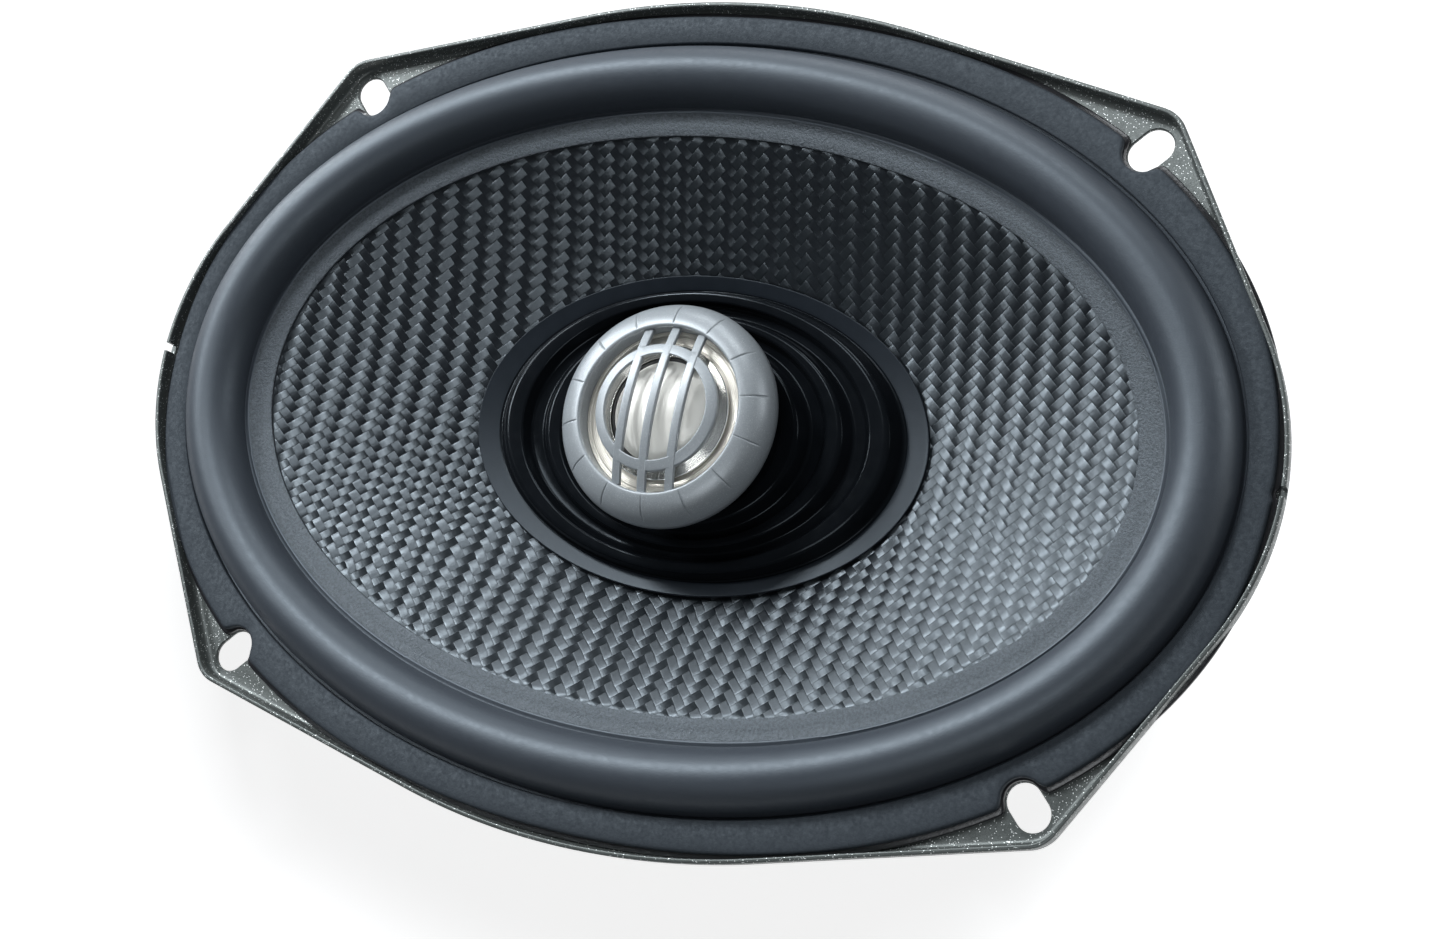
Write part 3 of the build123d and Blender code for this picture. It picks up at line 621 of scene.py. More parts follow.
# ---- outlines in plan -------------------------------------------------------------------
def ear_geometry():
    """Directions of the ear's two straight sides and the centre of its rounded corner."""
    ear = np.array([EAR_X, EAR_Y])
    end_centre = np.array([FLANGE_X - END_ARC_R, 0.0])
    side_centre = np.array([0.0, FLANGE_Y - SIDE_ARC_R])
    to_ear = ear - end_centre
    end_turn = math.atan2(to_ear[1], to_ear[0]) - math.acos(END_ARC_R / np.hypot(*to_ear))
    to_ear = ear - side_centre
    side_turn = math.atan2(to_ear[1], to_ear[0]) + math.acos(SIDE_ARC_R / np.hypot(*to_ear))
    normals = np.array([
        [math.cos(end_turn), math.sin(end_turn)], [math.cos(side_turn), math.sin(side_turn)]
    ])
    corner = np.linalg.solve(normals, normals @ ear - EAR_ROUND)
    return end_centre, side_centre, corner, end_turn, side_turn


def flange_outline(inset, z, per_arc=40, per_line=10):
    """Loop round the flange, moved inwards by an inset; every inset has matching points."""
    end_centre, side_centre, corner, end_turn, side_turn = ear_geometry()
    arcs = (
        (end_centre, END_ARC_R, 0.0, end_turn, per_arc),
        (corner, EAR_ROUND, end_turn, side_turn, per_arc // 2),
        (side_centre, SIDE_ARC_R, side_turn, math.pi / 2, per_arc),
    )
    quarter = []
    for centre, radius, first, last, count in arcs:
        turn = np.linspace(first, last, count)
        arc = centre + (radius - inset) * np.stack([np.cos(turn), np.sin(turn)], 1)
        if quarter:
            share = np.linspace(0, 1, per_line + 2)[1:-1, None]
            quarter.append(quarter[-1][-1] * (1 - share) + arc[0] * share)
        quarter.append(arc)
    first = np.concatenate(quarter)
    second = first[-2::-1] * [-1, 1]
    half = np.concatenate([first, second])
    plan = np.concatenate([half, half[-2:0:-1] * [1, -1]])
    return np.column_stack([plan, np.full(len(plan), float(z))])


def matching_oval(a, b, z):
    """Oval with its points in the same directions as the flange outline's points."""
    outline = flange_outline(0, 0)
    turn = np.arctan2(outline[:, 1] / b, outline[:, 0] / a)
    return np.stack([a * np.cos(turn), b * np.sin(turn), np.full(len(turn), float(z))], 1)


def slot_outline(sign_x, sign_y, steps=24):
    """Anticlockwise outline of one mounting slot."""
    along = np.array([math.cos(SLOT_ANGLE) * sign_x, math.sin(SLOT_ANGLE) * sign_y])
    base = math.atan2(along[1], along[0])
    centre = np.array([SLOT_X * sign_x, SLOT_Y * sign_y])
    points = []
    for end in (1, -1):
        start = base - math.pi / 2 + (0 if end == 1 else math.pi)
        for turn in np.linspace(start, start + math.pi, steps):
            points.append(centre + end * SLOT_HALF * along + SLOT_R * np.array([np.cos(turn), np.sin(turn)]))
    return points


def band_edge(inset, z, count):
    """Outer edge of the surround's flange and the gasket, notched round the slots."""
    t = angles(count)
    base = np.stack([BAND_A * np.cos(t), BAND_B * np.sin(t)], 1)
    normal = np.stack([np.cos(t) / BAND_A, np.sin(t) / BAND_B], 1)
    normal /= np.linalg.norm(normal, axis=1, keepdims=True)
    step = 0.04
    reach = np.arange(0, 14, step)
    p = np.abs(base[:, None, :] + reach[None, :, None] * normal[:, None, :])
    size = np.linalg.norm(p, axis=2)
    ratio = (p[..., 0] / GASKET_A) ** GASKET_POWER + (p[..., 1] / GASKET_B) ** GASKET_POWER
    outside = size * (1 - ratio ** (-1 / GASKET_POWER)) + inset
    along = np.array([math.cos(SLOT_ANGLE), math.sin(SLOT_ANGLE)])
    rel = p - np.array([SLOT_X, SLOT_Y])
    run = np.clip(rel @ along, -SLOT_HALF, SLOT_HALF)
    slot = np.linalg.norm(rel - run[..., None] * along, axis=2) - SLOT_R
    notch = 0.25 + 0.45 * inset - slot
    nick = 1.1 + 0.5 * inset - np.hypot(p[..., 0] - GASKET_A - 0.4, p[..., 1])
    field = smooth_max(smooth_max(outside, notch, 1.6), nick, 0.5)
    hit = np.argmax(field > 0, axis=1)
    rows = np.arange(count)
    before, after = field[rows, hit - 1], field[rows, hit]
    exact = reach[hit] - step * after / (after - before)
    plan = base + exact[:, None] * normal
    return np.column_stack([plan, np.full(count, float(z))])


def smooth_max(a, b, width):
    """The larger of two fields, with a rounded change-over."""
    share = np.clip(0.5 + 0.5 * (a - b) / width, 0, 1)
    return b * (1 - share) + a * share + width * share * (1 - share)


def crossing(angle, offset, a, b):
    """Where a line beside a leg's centreline crosses an oval."""
    d = np.array([math.cos(angle), math.sin(angle)])
    p = offset * np.array([-d[1], d[0]])
    qa = (d[0] / a) ** 2 + (d[1] / b) ** 2
    qb = 2 * (p[0] * d[0] / a ** 2 + p[1] * d[1] / b ** 2)
    qc = (p[0] / a) ** 2 + (p[1] / b) ** 2 - 1
    return p + d * (-qb + math.sqrt(qb * qb - 4 * qa * qc)) / (2 * qa)


def window_outline(first, second, corner=4.0, steps=40):
    """Anticlockwise plan outline of the opening between two legs, with rounded corners."""
    (turn_a, half_a), (turn_b, half_b) = first, second
    turn_a, turn_b = math.radians(turn_a), math.radians(turn_b)
    if turn_b < turn_a:
        turn_b += TURN
    sides = []
    for a, b in ((100.0, 70.4), (60.0, 55.2)):
        p = crossing(turn_a, half_a, a, b)
        q = crossing(turn_b, -half_b, a, b)
        start = math.atan2(p[1] / b, p[0] / a)
        end = math.atan2(q[1] / b, q[0] / a)
        end += TURN if end < start else 0
        t = np.linspace(start, end, steps)
        sides.append(np.stack([a * np.cos(t), b * np.sin(t)], 1))
    outer, inner = sides
    return np.concatenate([round_ends(outer, inner[::-1], corner), round_ends(inner[::-1], outer, corner)])


def round_ends(side, following, radius, steps=8):
    """A side without the stretch near its ends, then a bend into the side that follows."""
    far = np.linalg.norm(side - side[0], axis=1)
    near = np.linalg.norm(side - side[-1], axis=1)
    kept = side[(far >= radius) & (near >= radius)]
    corner, ahead = side[-1], following[0] - side[-1]
    leave = corner + ahead * radius / np.linalg.norm(ahead)
    u = np.linspace(0, 1, steps)[1:, None]
    bend = (1 - u) ** 2 * kept[-1] + 2 * u * (1 - u) * corner + u ** 2 * leave
    enter = following[0] - ahead * radius / np.linalg.norm(ahead)
    after = following[np.linalg.norm(following - following[0], axis=1) >= radius][0]
    bend_in = (1 - u) ** 2 * enter + 2 * u * (1 - u) * following[0] + u ** 2 * after
    return np.concatenate([kept, bend, [enter], bend_in[:-1]])


# ---- basket -----------------------------------------------------------------------------
def build_basket():
    """Stamped frame in one sheet: flange, lip, skirt, legs, spider shelf and motor seat."""
    o, e = flange_outline, matching_oval
    stations = [
        (e(108.5, 74.0, SHEET), 0.4), (o(3.4, SHEET), 0), (o(SHEET, SHEET), 1.6),
        (o(SHEET, LIP_TOP), 0.3), (o(0, LIP_TOP), 0.4), (o(0, 0), 1.1), (o(3.0, 0), 0),
        (e(BODY_A, BODY_B, 0), 1.2), (e(SKIRT_A, SKIRT_B, SKIRT_Z), 2.5),
        (e(SHELF_R, SHELF_R, SHELF_Z - 1), 1.5), (e(CUP_R, CUP_R, SHELF_Z - 1), 1.5),
        (e(SEAT_R, SEAT_R, SEAT_Z - 1), 1.2), (e(SEAT_HOLE_R, SEAT_HOLE_R, SEAT_Z - 1), 0.2),
        (e(SEAT_HOLE_R, SEAT_HOLE_R, SEAT_Z), 0.2), (e(SEAT_R - 1, SEAT_R - 1, SEAT_Z), 1.6),
        (e(CUP_R - 1, CUP_R - 1, SHELF_Z), 0.8), (e(SHELF_R, SHELF_R, SHELF_Z), 1.6),
        (e(SKIRT_A - 1, SKIRT_B - 1, SKIRT_Z + 0.4), 1.8),
    ]
    loops = soften([s[0] for s in stations], [s[1] for s in stations], 4)
    basket = loops_object("basket_pressing", loops, MAT["frame"])
    cutters = []
    for k, (first, second) in enumerate(zip(LEGS, LEGS[1:] + LEGS[:1])):
        cutters.append(prism(f"window_{k}", window_outline(first, second), [(-60, 0), (-1, 0)]))
    for sign_x in (1, -1):
        for sign_y in (1, -1):
            levels = [(-3, 0.4), (-0.05, 0.22), (0.2, 0), (0.65, 0), (0.95, 0.25), (2.0, 0.6)]
            cutters.append(prism("slot", slot_outline(sign_x, sign_y), levels))
        plan = np.array([[-1.6, -0.9], [1.6, -0.9], [1.6, 0.9], [-1.6, 0.9]])
        cutters.append(prism("nick", plan + [sign_x * FLANGE_X, 0], [(SHEET + 0.8, 0), (8, 0)]))
    return carve(basket, cutters, crease=32.0)


# ---- surround, gasket, cone -------------------------------------------------------------
AROUND = 960


def roll_loops(inset, steps):
    """Loops of the half roll from its outer foot over the crest to its inner foot."""
    rise = ROLL_TOP_Z - ROLL_FOOT_Z - inset
    for step in range(steps + 1):
        turn = math.pi * step / steps
        a = ROLL_A + (ROLL_RA - inset) * math.cos(turn)
        b = ROLL_B + (ROLL_RB - inset) * math.cos(turn)
        yield oval(a, b, ROLL_FOOT_Z + rise * math.sin(turn), AROUND)


def build_surround():
    """Half roll with a flange under the gasket and a landing glued on the cone's rim."""
    top = SHEET + RUBBER
    loops = [
        band_edge(0.0, SHEET, AROUND), band_edge(0.0, top - 0.2, AROUND),
        band_edge(0.2, top, AROUND), band_edge(1.6, top, AROUND),
        oval(111.0, 76.1, top - 0.05, AROUND), oval(110.4, 75.5, top - 0.25, AROUND),
    ]
    loops += list(roll_loops(0.0, 26))[1:-1]
    bead_a, bead_b = RIM_A - 0.35, RIM_B - 0.35
    landing_start = len(loops)
    loops += [
        oval(RIM_A + 0.45, RIM_B + 0.45, 1.15, AROUND), oval(bead_a + 0.35, bead_b + 0.35, 1.05, AROUND),
        oval(bead_a, bead_b, 1.30, AROUND), oval(bead_a - 0.35, bead_b - 0.35, 1.18, AROUND),
        oval(bead_a - 0.6, bead_b - 0.6, 0.86, AROUND), oval(94.0, 59.6, 0.62, AROUND),
        oval(BREAK_A + 0.25, BREAK_B + 0.25, 0.36, AROUND), oval(BREAK_A, BREAK_B, 0.2, AROUND),
    ]
    landing_end = len(loops)
    loops += [
        oval(BREAK_A, BREAK_B, BREAK_Z + 0.03, AROUND),
        oval(RIM_A - 0.1, RIM_B - 0.1, 0.03, AROUND),
    ]
    loops += list(roll_loops(RUBBER, 14))[::-1]
    loops += [oval(ROLL_A + ROLL_RA - 0.3, ROLL_B + ROLL_RB - 0.3, SHEET, AROUND)]
    piece = loops_object("surround_roll", loops, MAT["surround"], crease=55.0)
    piece.data.materials.append(MAT["landing"])
    piece.data.materials.append(MAT["edge"])
    slots = np.zeros(len(loops) * AROUND, np.int32)
    slots[(landing_start + 3) * AROUND:landing_end * AROUND] = 1
    slots[:3 * AROUND] = 2
    piece.data.polygons.foreach_set("material_index", slots[:len(piece.data.polygons)])
    return piece


def build_gasket():
    """Flat foam gasket on the surround's flange, with a pressed line near its edge."""
    bottom, top = SHEET + RUBBER + 0.02, GASKET_TOP_Z
    count = 1200
    inner = (110.9, 76.0)
    loops = [
        oval(inner[0] + 0.15, inner[1] + 0.15, bottom, count), oval(*inner, bottom + 0.2, count),
        oval(*inner, top - 0.25, count), oval(inner[0] + 0.25, inner[1] + 0.25, top, count),
        band_edge(2.3, top, count), band_edge(1.7, top - 0.04, count),
        band_edge(1.3, top - 0.16, count), band_edge(1.1, top - 0.40, count),
        band_edge(1.05, top - 0.60, count), band_edge(1.0, bottom, count),
    ]
    return loops_object("gasket_band", loops, MAT["gasket"], crease=60.0)


def cone_loop(share, z_shift=0.0, count=512):
    """Loop on the ruled face of the cone, from the neck at 0 to the break at 1."""
    a = NECK_R + (BREAK_A - NECK_R) * share
    b = NECK_R + (BREAK_B - NECK_R) * share
    return oval(a, b, NECK_Z + (BREAK_Z - NECK_Z) * share + z_shift, count)


def build_cone():
    """Woven cone with a flat rim under the landing and a round neck on the former."""
    count = 512
    front = [cone_loop(share) for share in np.linspace(1, 0, 40)]
    neck = [
        oval(FORMER_R, FORMER_R, NECK_Z - 0.2, count), oval(FORMER_R, FORMER_R, NECK_BOTTOM_Z, count),
        oval(NECK_R + 0.1, NECK_R + 0.1, NECK_BOTTOM_Z, count),
    ]
    back = [cone_loop(share, -PAPER) for share in np.linspace(0.012, 1, 40)]
    rim = [oval(RIM_A, RIM_B, -PAPER, count), oval(RIM_A, RIM_B, 0, count)]
    piece = loops_object("woven_cone", front + neck + back + rim, MAT["weave"], crease=50.0)
    piece.data.materials.append(MAT["paper"])
    slots = np.zeros((len(front) + len(neck) + len(back) + len(rim), count), np.int32)
    slots[len(front):-1] = 1
    piece.data.polygons.foreach_set("material_index", slots.ravel()[:len(piece.data.polygons)])
    return piece


def build_centre_ring():
    """Glossy ring on the cone: satin rim, then three ribs that turn from oval to round."""
    count = 384
    film = 0.5
    stations = [
        (49.0, 32.7, -13.35, 0.1), (48.9, 32.6, -12.85, 0.2), (48.3, 32.1, -13.0, 0.3),
        (44.6, 29.9, -13.75, 0.5), (43.6, 29.4, -14.0, 0.7), (41.6, 28.6, -10.75, 0.45),
        (40.6, 28.1, -10.4, 0.4), (37.4, 26.5, -10.5, 0.45), (36.3, 25.6, -12.9, 0.5),
        (33.6, 24.2, -13.3, 0.6), (31.9, 23.7, -10.75, 0.45), (31.2, 23.3, -10.4, 0.4),
        (28.6, 22.2, -10.5, 0.45), (27.4, 21.5, -12.9, 0.5), (24.6, 20.1, -13.3, 0.6),
        (22.7, 19.2, -10.75, 0.45), (22.1, 18.9, -10.4, 0.4), (19.4, 17.7, -10.5, 0.45),
        (17.3, 16.3, -12.2, 0.6), (15.9, 15.7, -12.5, 0.1),
    ]
    top = [oval(*station[:3], count) for station in stations]
    radii = [station[3] for station in stations]
    under = [loop - [0, 0, film] for loop in top[:0:-1]]
    loops = soften(top + under, radii + [0.3] * len(under), 4)
    piece = loops_object("centre_ribs", loops, MAT["gloss"], crease=60.0)
    piece.data.materials.append(MAT["satin"])
    co = np.zeros(len(piece.data.polygons) * 3)
    piece.data.polygons.foreach_get("center", co)
    x, y = co[0::3] / MM, co[1::3] / MM
    rim = (x / 44.4) ** 2 + (y / 29.8) ** 2 > 1
    piece.data.polygons.foreach_set("material_index", rim.astype(np.int32))
    return piece


def build_spider():
    """Corrugated cloth disc between the basket's shelf and the former."""
    outer, inner, waves, height, thick = 46.5, 19.0, 5, 1.3, 0.4
    middle = SHELF_Z + 1.8
    count, steps = 192, 100
    share = np.linspace(0, 1, steps)
    radius = outer - 1.2 + (inner - outer + 1.2) * share
    wave = middle + height * np.sin(TURN * waves * share)
    top = [(50.0, SHELF_Z + thick), (outer, SHELF_Z + thick)]
    top += [(r, z + thick) for r, z in zip(radius, wave)]
    top += [(FORMER_R + 0.5, middle + 3.0), (FORMER_R, middle + 3.0)]
    under = [(FORMER_R, middle - 0.5)] + [(r, z) for r, z in zip(radius, wave)][::-1]
    under += [(outer, SHELF_Z), (50.0, SHELF_Z)]
    loops = [oval(r, r, z, count) for r, z in top + under]
    return loops_object("spider_disc", loops, MAT["spider"], crease=60.0)


# ---- tweeter ----------------------------------------------------------------------------
def build_bezel():
    """Convex ring with fourteen shallow radial score lines."""
    count = 1120
    section = [(16.4, 0.3), (16.4, 5.35), (16.52, 5.72), (16.75, 5.88)]
    section += list(bezel_crown())
    section += [
        (BEZEL_R, 0.0), (22.18, -0.9), (21.9, -1.2), (21.4, -1.2), (21.2, -1.0), (21.2, 0.25), (21.1, 0.3),
    ]
    loops = [oval(r, r, z, count) for r, z in section]
    t = angles(count)
    pitch = TURN / SCORES
    first, middle_r, half_width, depth, undercut = math.radians(92), 19.0, 0.22, 0.20, 0.07
    near = np.abs((t - first + pitch / 2) % pitch - pitch / 2) * middle_r
    groove = np.clip(1 - near / half_width, 0, 1)
    groove = groove * groove * (3 - 2 * groove)
    for loop, (r, z) in zip(loops, section):
        if z > 0.9 and r > 16.9:
            fade = min(1.0, (r - 16.9) / 0.5) * min(1.0, max(0.0, (21.6 - r) / 0.5))
            loop[:, 2] -= depth * fade * groove
            loop[:, :2] -= undercut * fade * groove[:, None] * loop[:, :2] / r
    return loops_object("bezel_ring", loops, MAT["bezel"], crease=70.0)


def bezel_crown(steps=26):
    """(radius, z) points over the bezel's convex face, from its front edge outwards."""
    start, through, end = np.array([16.9, 5.9]), np.array([20.6, 3.9]), np.array([BEZEL_R, 0.6])
    rows = np.array([2 * (through - start), 2 * (end - start)])
    right = np.array([through @ through - start @ start, end @ end - start @ start])
    centre = np.linalg.solve(rows, right)
    first = math.atan2(*(start - centre)[::-1])
    last = math.atan2(*(end - centre)[::-1])
    radius = np.linalg.norm(start - centre)
    for turn in np.linspace(first, last, steps):
        yield centre[0] + radius * math.cos(turn), centre[1] + radius * math.sin(turn)


def guard_height(r):
    """Front face of the guard, part of a sphere."""
    return GUARD_TOP_Z - GUARD_CURVE + np.sqrt(GUARD_CURVE ** 2 - np.asarray(r) ** 2)


def build_guard():
    """Domed guard: a ring crossed by three bars with soft edges."""
    section = [(-1.05, 0.0), (-1.05, -1.15), (1.05, -1.15), (1.05, 0.0)]
    ring_r, bar_gap, bar_reach, along = 11.55, 5.6, 16.45, 60
    loops = []
    for across, down in section:
        r = ring_r + across
        loops.append(oval(r, r, float(guard_height(r)) + down, 256))
    ring = loops_object("tweeter_grille", soften(loops, [0.28] * 4, 4), MAT["bezel"])
    bars = []
    for x in (-bar_gap, 0.0, bar_gap):
        half = math.sqrt(bar_reach ** 2 - x * x)
        y = np.linspace(-half, half, along)
        top = guard_height(np.hypot(x, y))
        corners = [(-0.85, 0.02), (-0.85, -1.12), (0.85, -1.12), (0.85, 0.02)]
        ribbon = [np.stack([np.full(along, x + dx), y, top + dz], 1) for dx, dz in corners]
        rails = soften(ribbon, [0.28] * 4, 4)
        rails = np.stack(rails, 1)
        bars.append(loops_object("bar", list(rails), None, closed=False))
    return carve(ring, bars, "UNION", crease=50.0)


def build_dome():
    """Thin metal dome with a turned-in edge."""
    rise, radius, film, base = 4.2, 10.2, 0.3, 2.6
    curve = (radius ** 2 + rise ** 2) / (2 * rise)
    centre = base + rise - curve
    limit = math.asin(radius / curve)
    outer = [(curve * math.sin(a), centre + curve * math.cos(a)) for a in np.linspace(0.0008, limit, 40)]
    inside = curve - film
    inner = [(inside * math.sin(a), centre + inside * math.cos(a)) for a in np.linspace(limit, 0.0008, 30)]
    return turned("dome_cap", outer + inner, MAT["dome"], 0, 192, crease=60.0)


def build_trim_ring():
    """Polished ring with fine turned grooves."""
    section = [(13.4, 2.3), (13.4, 2.75)]
    section += [(13.2 - 0.1 * k, 2.85 + 0.09 * math.cos(math.pi * k) * 0.9) for k in range(21)]
    section += [(11.1, 3.0), (11.0, 2.9), (11.0, 2.3)]
    return lathe("trim_rings", section, MAT["polished"], 0.03, 256, 2, 50.0)


def build_faceplate():
    """Champagne ring with a stepped, turned face."""
    section = [
        (12.6, 0.3), (16.38, 0.3), (16.38, 2.0), (15.9, 2.0), (15.7, 1.85), (15.5, 1.85),
        (15.3, 2.0), (13.9, 2.0), (13.7, 1.9), (12.6, 1.9),
    ]
    return lathe("faceplate_ring", section, MAT["champagne"], 0.08, 256, 2, 40.0)


def build_tweeter_suspension():
    """Small cloth half roll between dome and cup."""
    face = 2.0
    top = [
        (13.3, face + 0.3), (11.0, face + 0.3), (10.85, face + 0.55), (10.6, face + 0.78),
        (10.35, face + 0.75), (10.2, 2.6),
    ]
    under = [
        (10.2, 2.3), (10.4, face + 0.42), (10.6, face + 0.4), (10.8, face + 0.2), (10.95, face),
        (13.3, face),
    ]
    loops = [oval(r, r, z, 192) for r, z in top + under]
    return loops_object("tweeter_roll", loops, MAT["tweeter_cloth"], crease=60.0)


def build_housing():
    """Black shell under the bezel, with a stepped neck on the post."""
    section = [
        (0.0, -6.8), (12.6, -6.8), (12.6, 0.3), (21.2, 0.3), (21.2, -1.4), (14.6, -3.95),
        (13.6, -4.6), (13.6, -8.2), (0.0, -8.2),
    ]
    radii = [0, 0.1, 0.1, 0.2, 0.5, 0.6, 0.6, 0.3, 0]
    return turned("housing_shell", section, MAT["plastic"], radii, 160)


def build_post():
    """Post with a broad foot and a flared head."""
    section = [
        (2.0, -47.5), (14.4, -47.5), (14.4, -44.6), (9.0, -39.5), (9.0, -17.4), (13.4, -11.4),
        (13.4, -8.2), (0.0, -8.2),
    ]
    radii = [0, 0.5, 0.8, 2.0, 2.0, 0.8, 0.3, 0]
    return turned("centre_post", section, MAT["plastic"], radii, 128)


# ---- motor ------------------------------------------------------------------------------
def build_top_plate():
    """Plated front plate with softened rims and the notch for the tweeter's leads."""
    section = [(17.9, -54.0), (46.0, -54.0), (46.0, -49.0), (17.9, -49.0)]
    plate = lathe("plate_front", section, MAT["zinc"], 0.5, 256)
    notch = np.array([[-1.7, -48.0], [1.7, -48.0], [1.7, -44.6], [-1.7, -44.6]])
    return carve(plate, [prism("notch", notch, [(-60, 0), (-45, 0)])])


def build_boot():
    """Rubber boot over the motor, with grip ribs round its wall and a dished back."""
    section = [
        (46.1, -50.5), (47.2, -50.5), (47.6, -50.9), (47.6, -52.6), (47.2, -53.0), (47.2, -73.6),
        (47.6, -74.0), (47.6, -75.6), (45.2, -78.0), (34.0, -78.0), (33.2, -77.4), (15.0, -77.4),
        (14.2, -78.0), (12.0, -78.0), (12.0, -76.1), (46.1, -76.1),
    ]
    return lathe("boot_shell", section, MAT["boot"], 0.35, 256)


def build_yoke():
    """Back plate and pole, with recess, bore and the groove for the leads."""
    section = [
        (5.0, -47.5), (15.6, -47.5), (15.6, -71.0), (43.0, -71.0), (43.0, -76.0), (8.0, -76.0),
        (8.0, -73.0), (5.0, -73.0),
    ]
    yoke = lathe("yoke_steel", section, MAT["zinc"], [0.3, 0.4, 0.3, 0.5, 0.5, 0.3, 0.2, 0.2], 192)
    groove = np.array([[-1.7, -44.0], [1.7, -44.0], [1.7, -1.0], [-1.7, -1.0]])
    return carve(yoke, [prism("groove", groove, [(-80, 0), (-71.8, 0)])])


def build_bolt():
    """Hexagon bolt with a chamfered head and a turned washer face."""
    head_top, head_bottom = -74.0, -76.8
    t = angles(96)
    sector = (t + math.pi / 6) % (math.pi / 3) - math.pi / 6
    flat = 3.4641 / np.cos(sector)
    loops = []
    for z, limit in ((head_top, 3.4), (head_top - 0.3, 4.2), (head_bottom + 0.5, 4.2), (head_bottom, 3.35)):
        r = np.minimum(flat, limit)
        loops.append(np.stack([r * np.cos(t), r * np.sin(t), np.full(96, z)], 1))
    loops.append(np.stack([2.4 * np.cos(t), 2.4 * np.sin(t), np.full(96, head_bottom)], 1))
    loops.append(np.stack([2.2 * np.cos(t), 2.2 * np.sin(t), np.full(96, head_bottom + 0.25)], 1))
    head = loops_object("post_screw", loops, MAT["zinc"], closed=False, crease=25.0)
    shank = [(2.0, head_top + 0.01), (2.0, -66.0)]
    for k in range(46):
        shank += [(1.75, -66.0 + k), (2.0, -65.5 + k)]
    shank += [(1.6, -20.0)]
    thread = turned("thread", shank, MAT["zinc"], 0, 48, crease=30.0)
    return join_meshes("post_screw", [head, thread], 25.0)


def build_rivets():
    """Domed rivet heads that hold the seat on the front plate."""
    made = []
    section = [
        (2.0, -51.6), (2.0, -48.0), (3.2, -48.0), (3.2, -47.5), (2.4, -46.9), (1.2, -46.8), (0.0, -46.8),
    ]
    for k in range(4):
        turn = math.radians(45 + 90 * k)
        rivet = turned("rivet", section, MAT["zinc"], [0, 0, 0.1, 0.2, 0.3, 0.3, 0], 48)
        rivet.data.transform(Matrix.Translation((32 * math.cos(turn) * MM, 32 * math.sin(turn) * MM, 0)))
        made.append(rivet)
    return join_meshes("seat_rivets", made)


# ---- terminals and wiring ---------------------------------------------------------------
BOARD_MIDDLE = (0.0, -63.1, -22.5)
BOARD_SLOPE = (29.0, 22.2)      # drop and run of the leg that carries the board
BOARD_THICK = 1.6
TAB_X, TAB_Y = 10.0, 2.0
CAP_R, CAP_Y = 4.0, -8.0


def board_matrix():
    """Turns the terminal board's own axes into the speaker's; its Z leads away from the leg."""
    drop, run = BOARD_SLOPE
    length = math.hypot(drop, run)
    x = Vector((1, 0, 0))
    z = Vector((0, -drop / length, -run / length))
    turn = Matrix((x, z.cross(x), z)).transposed().to_4x4()
    return Matrix.Translation(Vector(BOARD_MIDDLE) * MM) @ turn


def on_board(obj, x=0.0, y=0.0, z=0.0, turn=None):
    """Moves a made mesh to a place on the terminal board."""
    place = board_matrix() @ Matrix.Translation(Vector((x, y, z)) * MM)
    obj.data.transform(place @ turn if turn else place)
    return obj


def rounded_rectangle(width, height, radius, steps=8):
    """Anticlockwise outline centred on the origin."""
    points = []
    for k, (sx, sy) in enumerate(((1, 1), (-1, 1), (-1, -1), (1, -1))):
        for turn in np.linspace(k * math.pi / 2, (k + 1) * math.pi / 2, steps):
            x = sx * (width / 2 - radius) + radius * math.cos(turn)
            points.append((x, sy * (height / 2 - radius) + radius * math.sin(turn)))
    return points


def build_board():
    """Hardboard plate with softened edges."""
    outline = rounded_rectangle(32.0, 26.0, 2.5)
    levels = [(0, -0.15), (0.15, 0), (BOARD_THICK - 0.15, 0), (BOARD_THICK, -0.15)]
    board = on_board(prism("board_plate", outline, levels))
    board.data.materials.append(MAT["board"])
    return board


def build_board_rivets():
    """Tubular rivets with domed, dimpled heads."""
    made = []
    for x, y, radius, seat in (
        (0, 9.5, 1.5, BOARD_THICK), (0, -0.5, 1.5, BOARD_THICK),
        (-TAB_X, 6.5, 1.0, BOARD_THICK + 0.8), (TAB_X, 6.5, 1.0, BOARD_THICK + 0.5),
    ):
        head = radius + 1.1
        bottom = -2.2 if x == 0 else 0.1
        section = [
            (0.0, bottom), (radius - 0.1, bottom), (radius - 0.1, seat - 0.01), (head, seat),
            (head, seat + 0.25), (head - 0.7, seat + 0.8), (0.75 * radius, seat + 0.75),
            (0.55 * radius, seat + 0.3), (0.0, seat + 0.3),
        ]
        rivet = turned("rivet", section, MAT["tin"], [0, 0, 0, 0.1, 0.25, 0.3, 0.2, 0.1, 0], 40)
        made.append(on_board(rivet, x, y))
    return join_meshes("board_rivets", made)


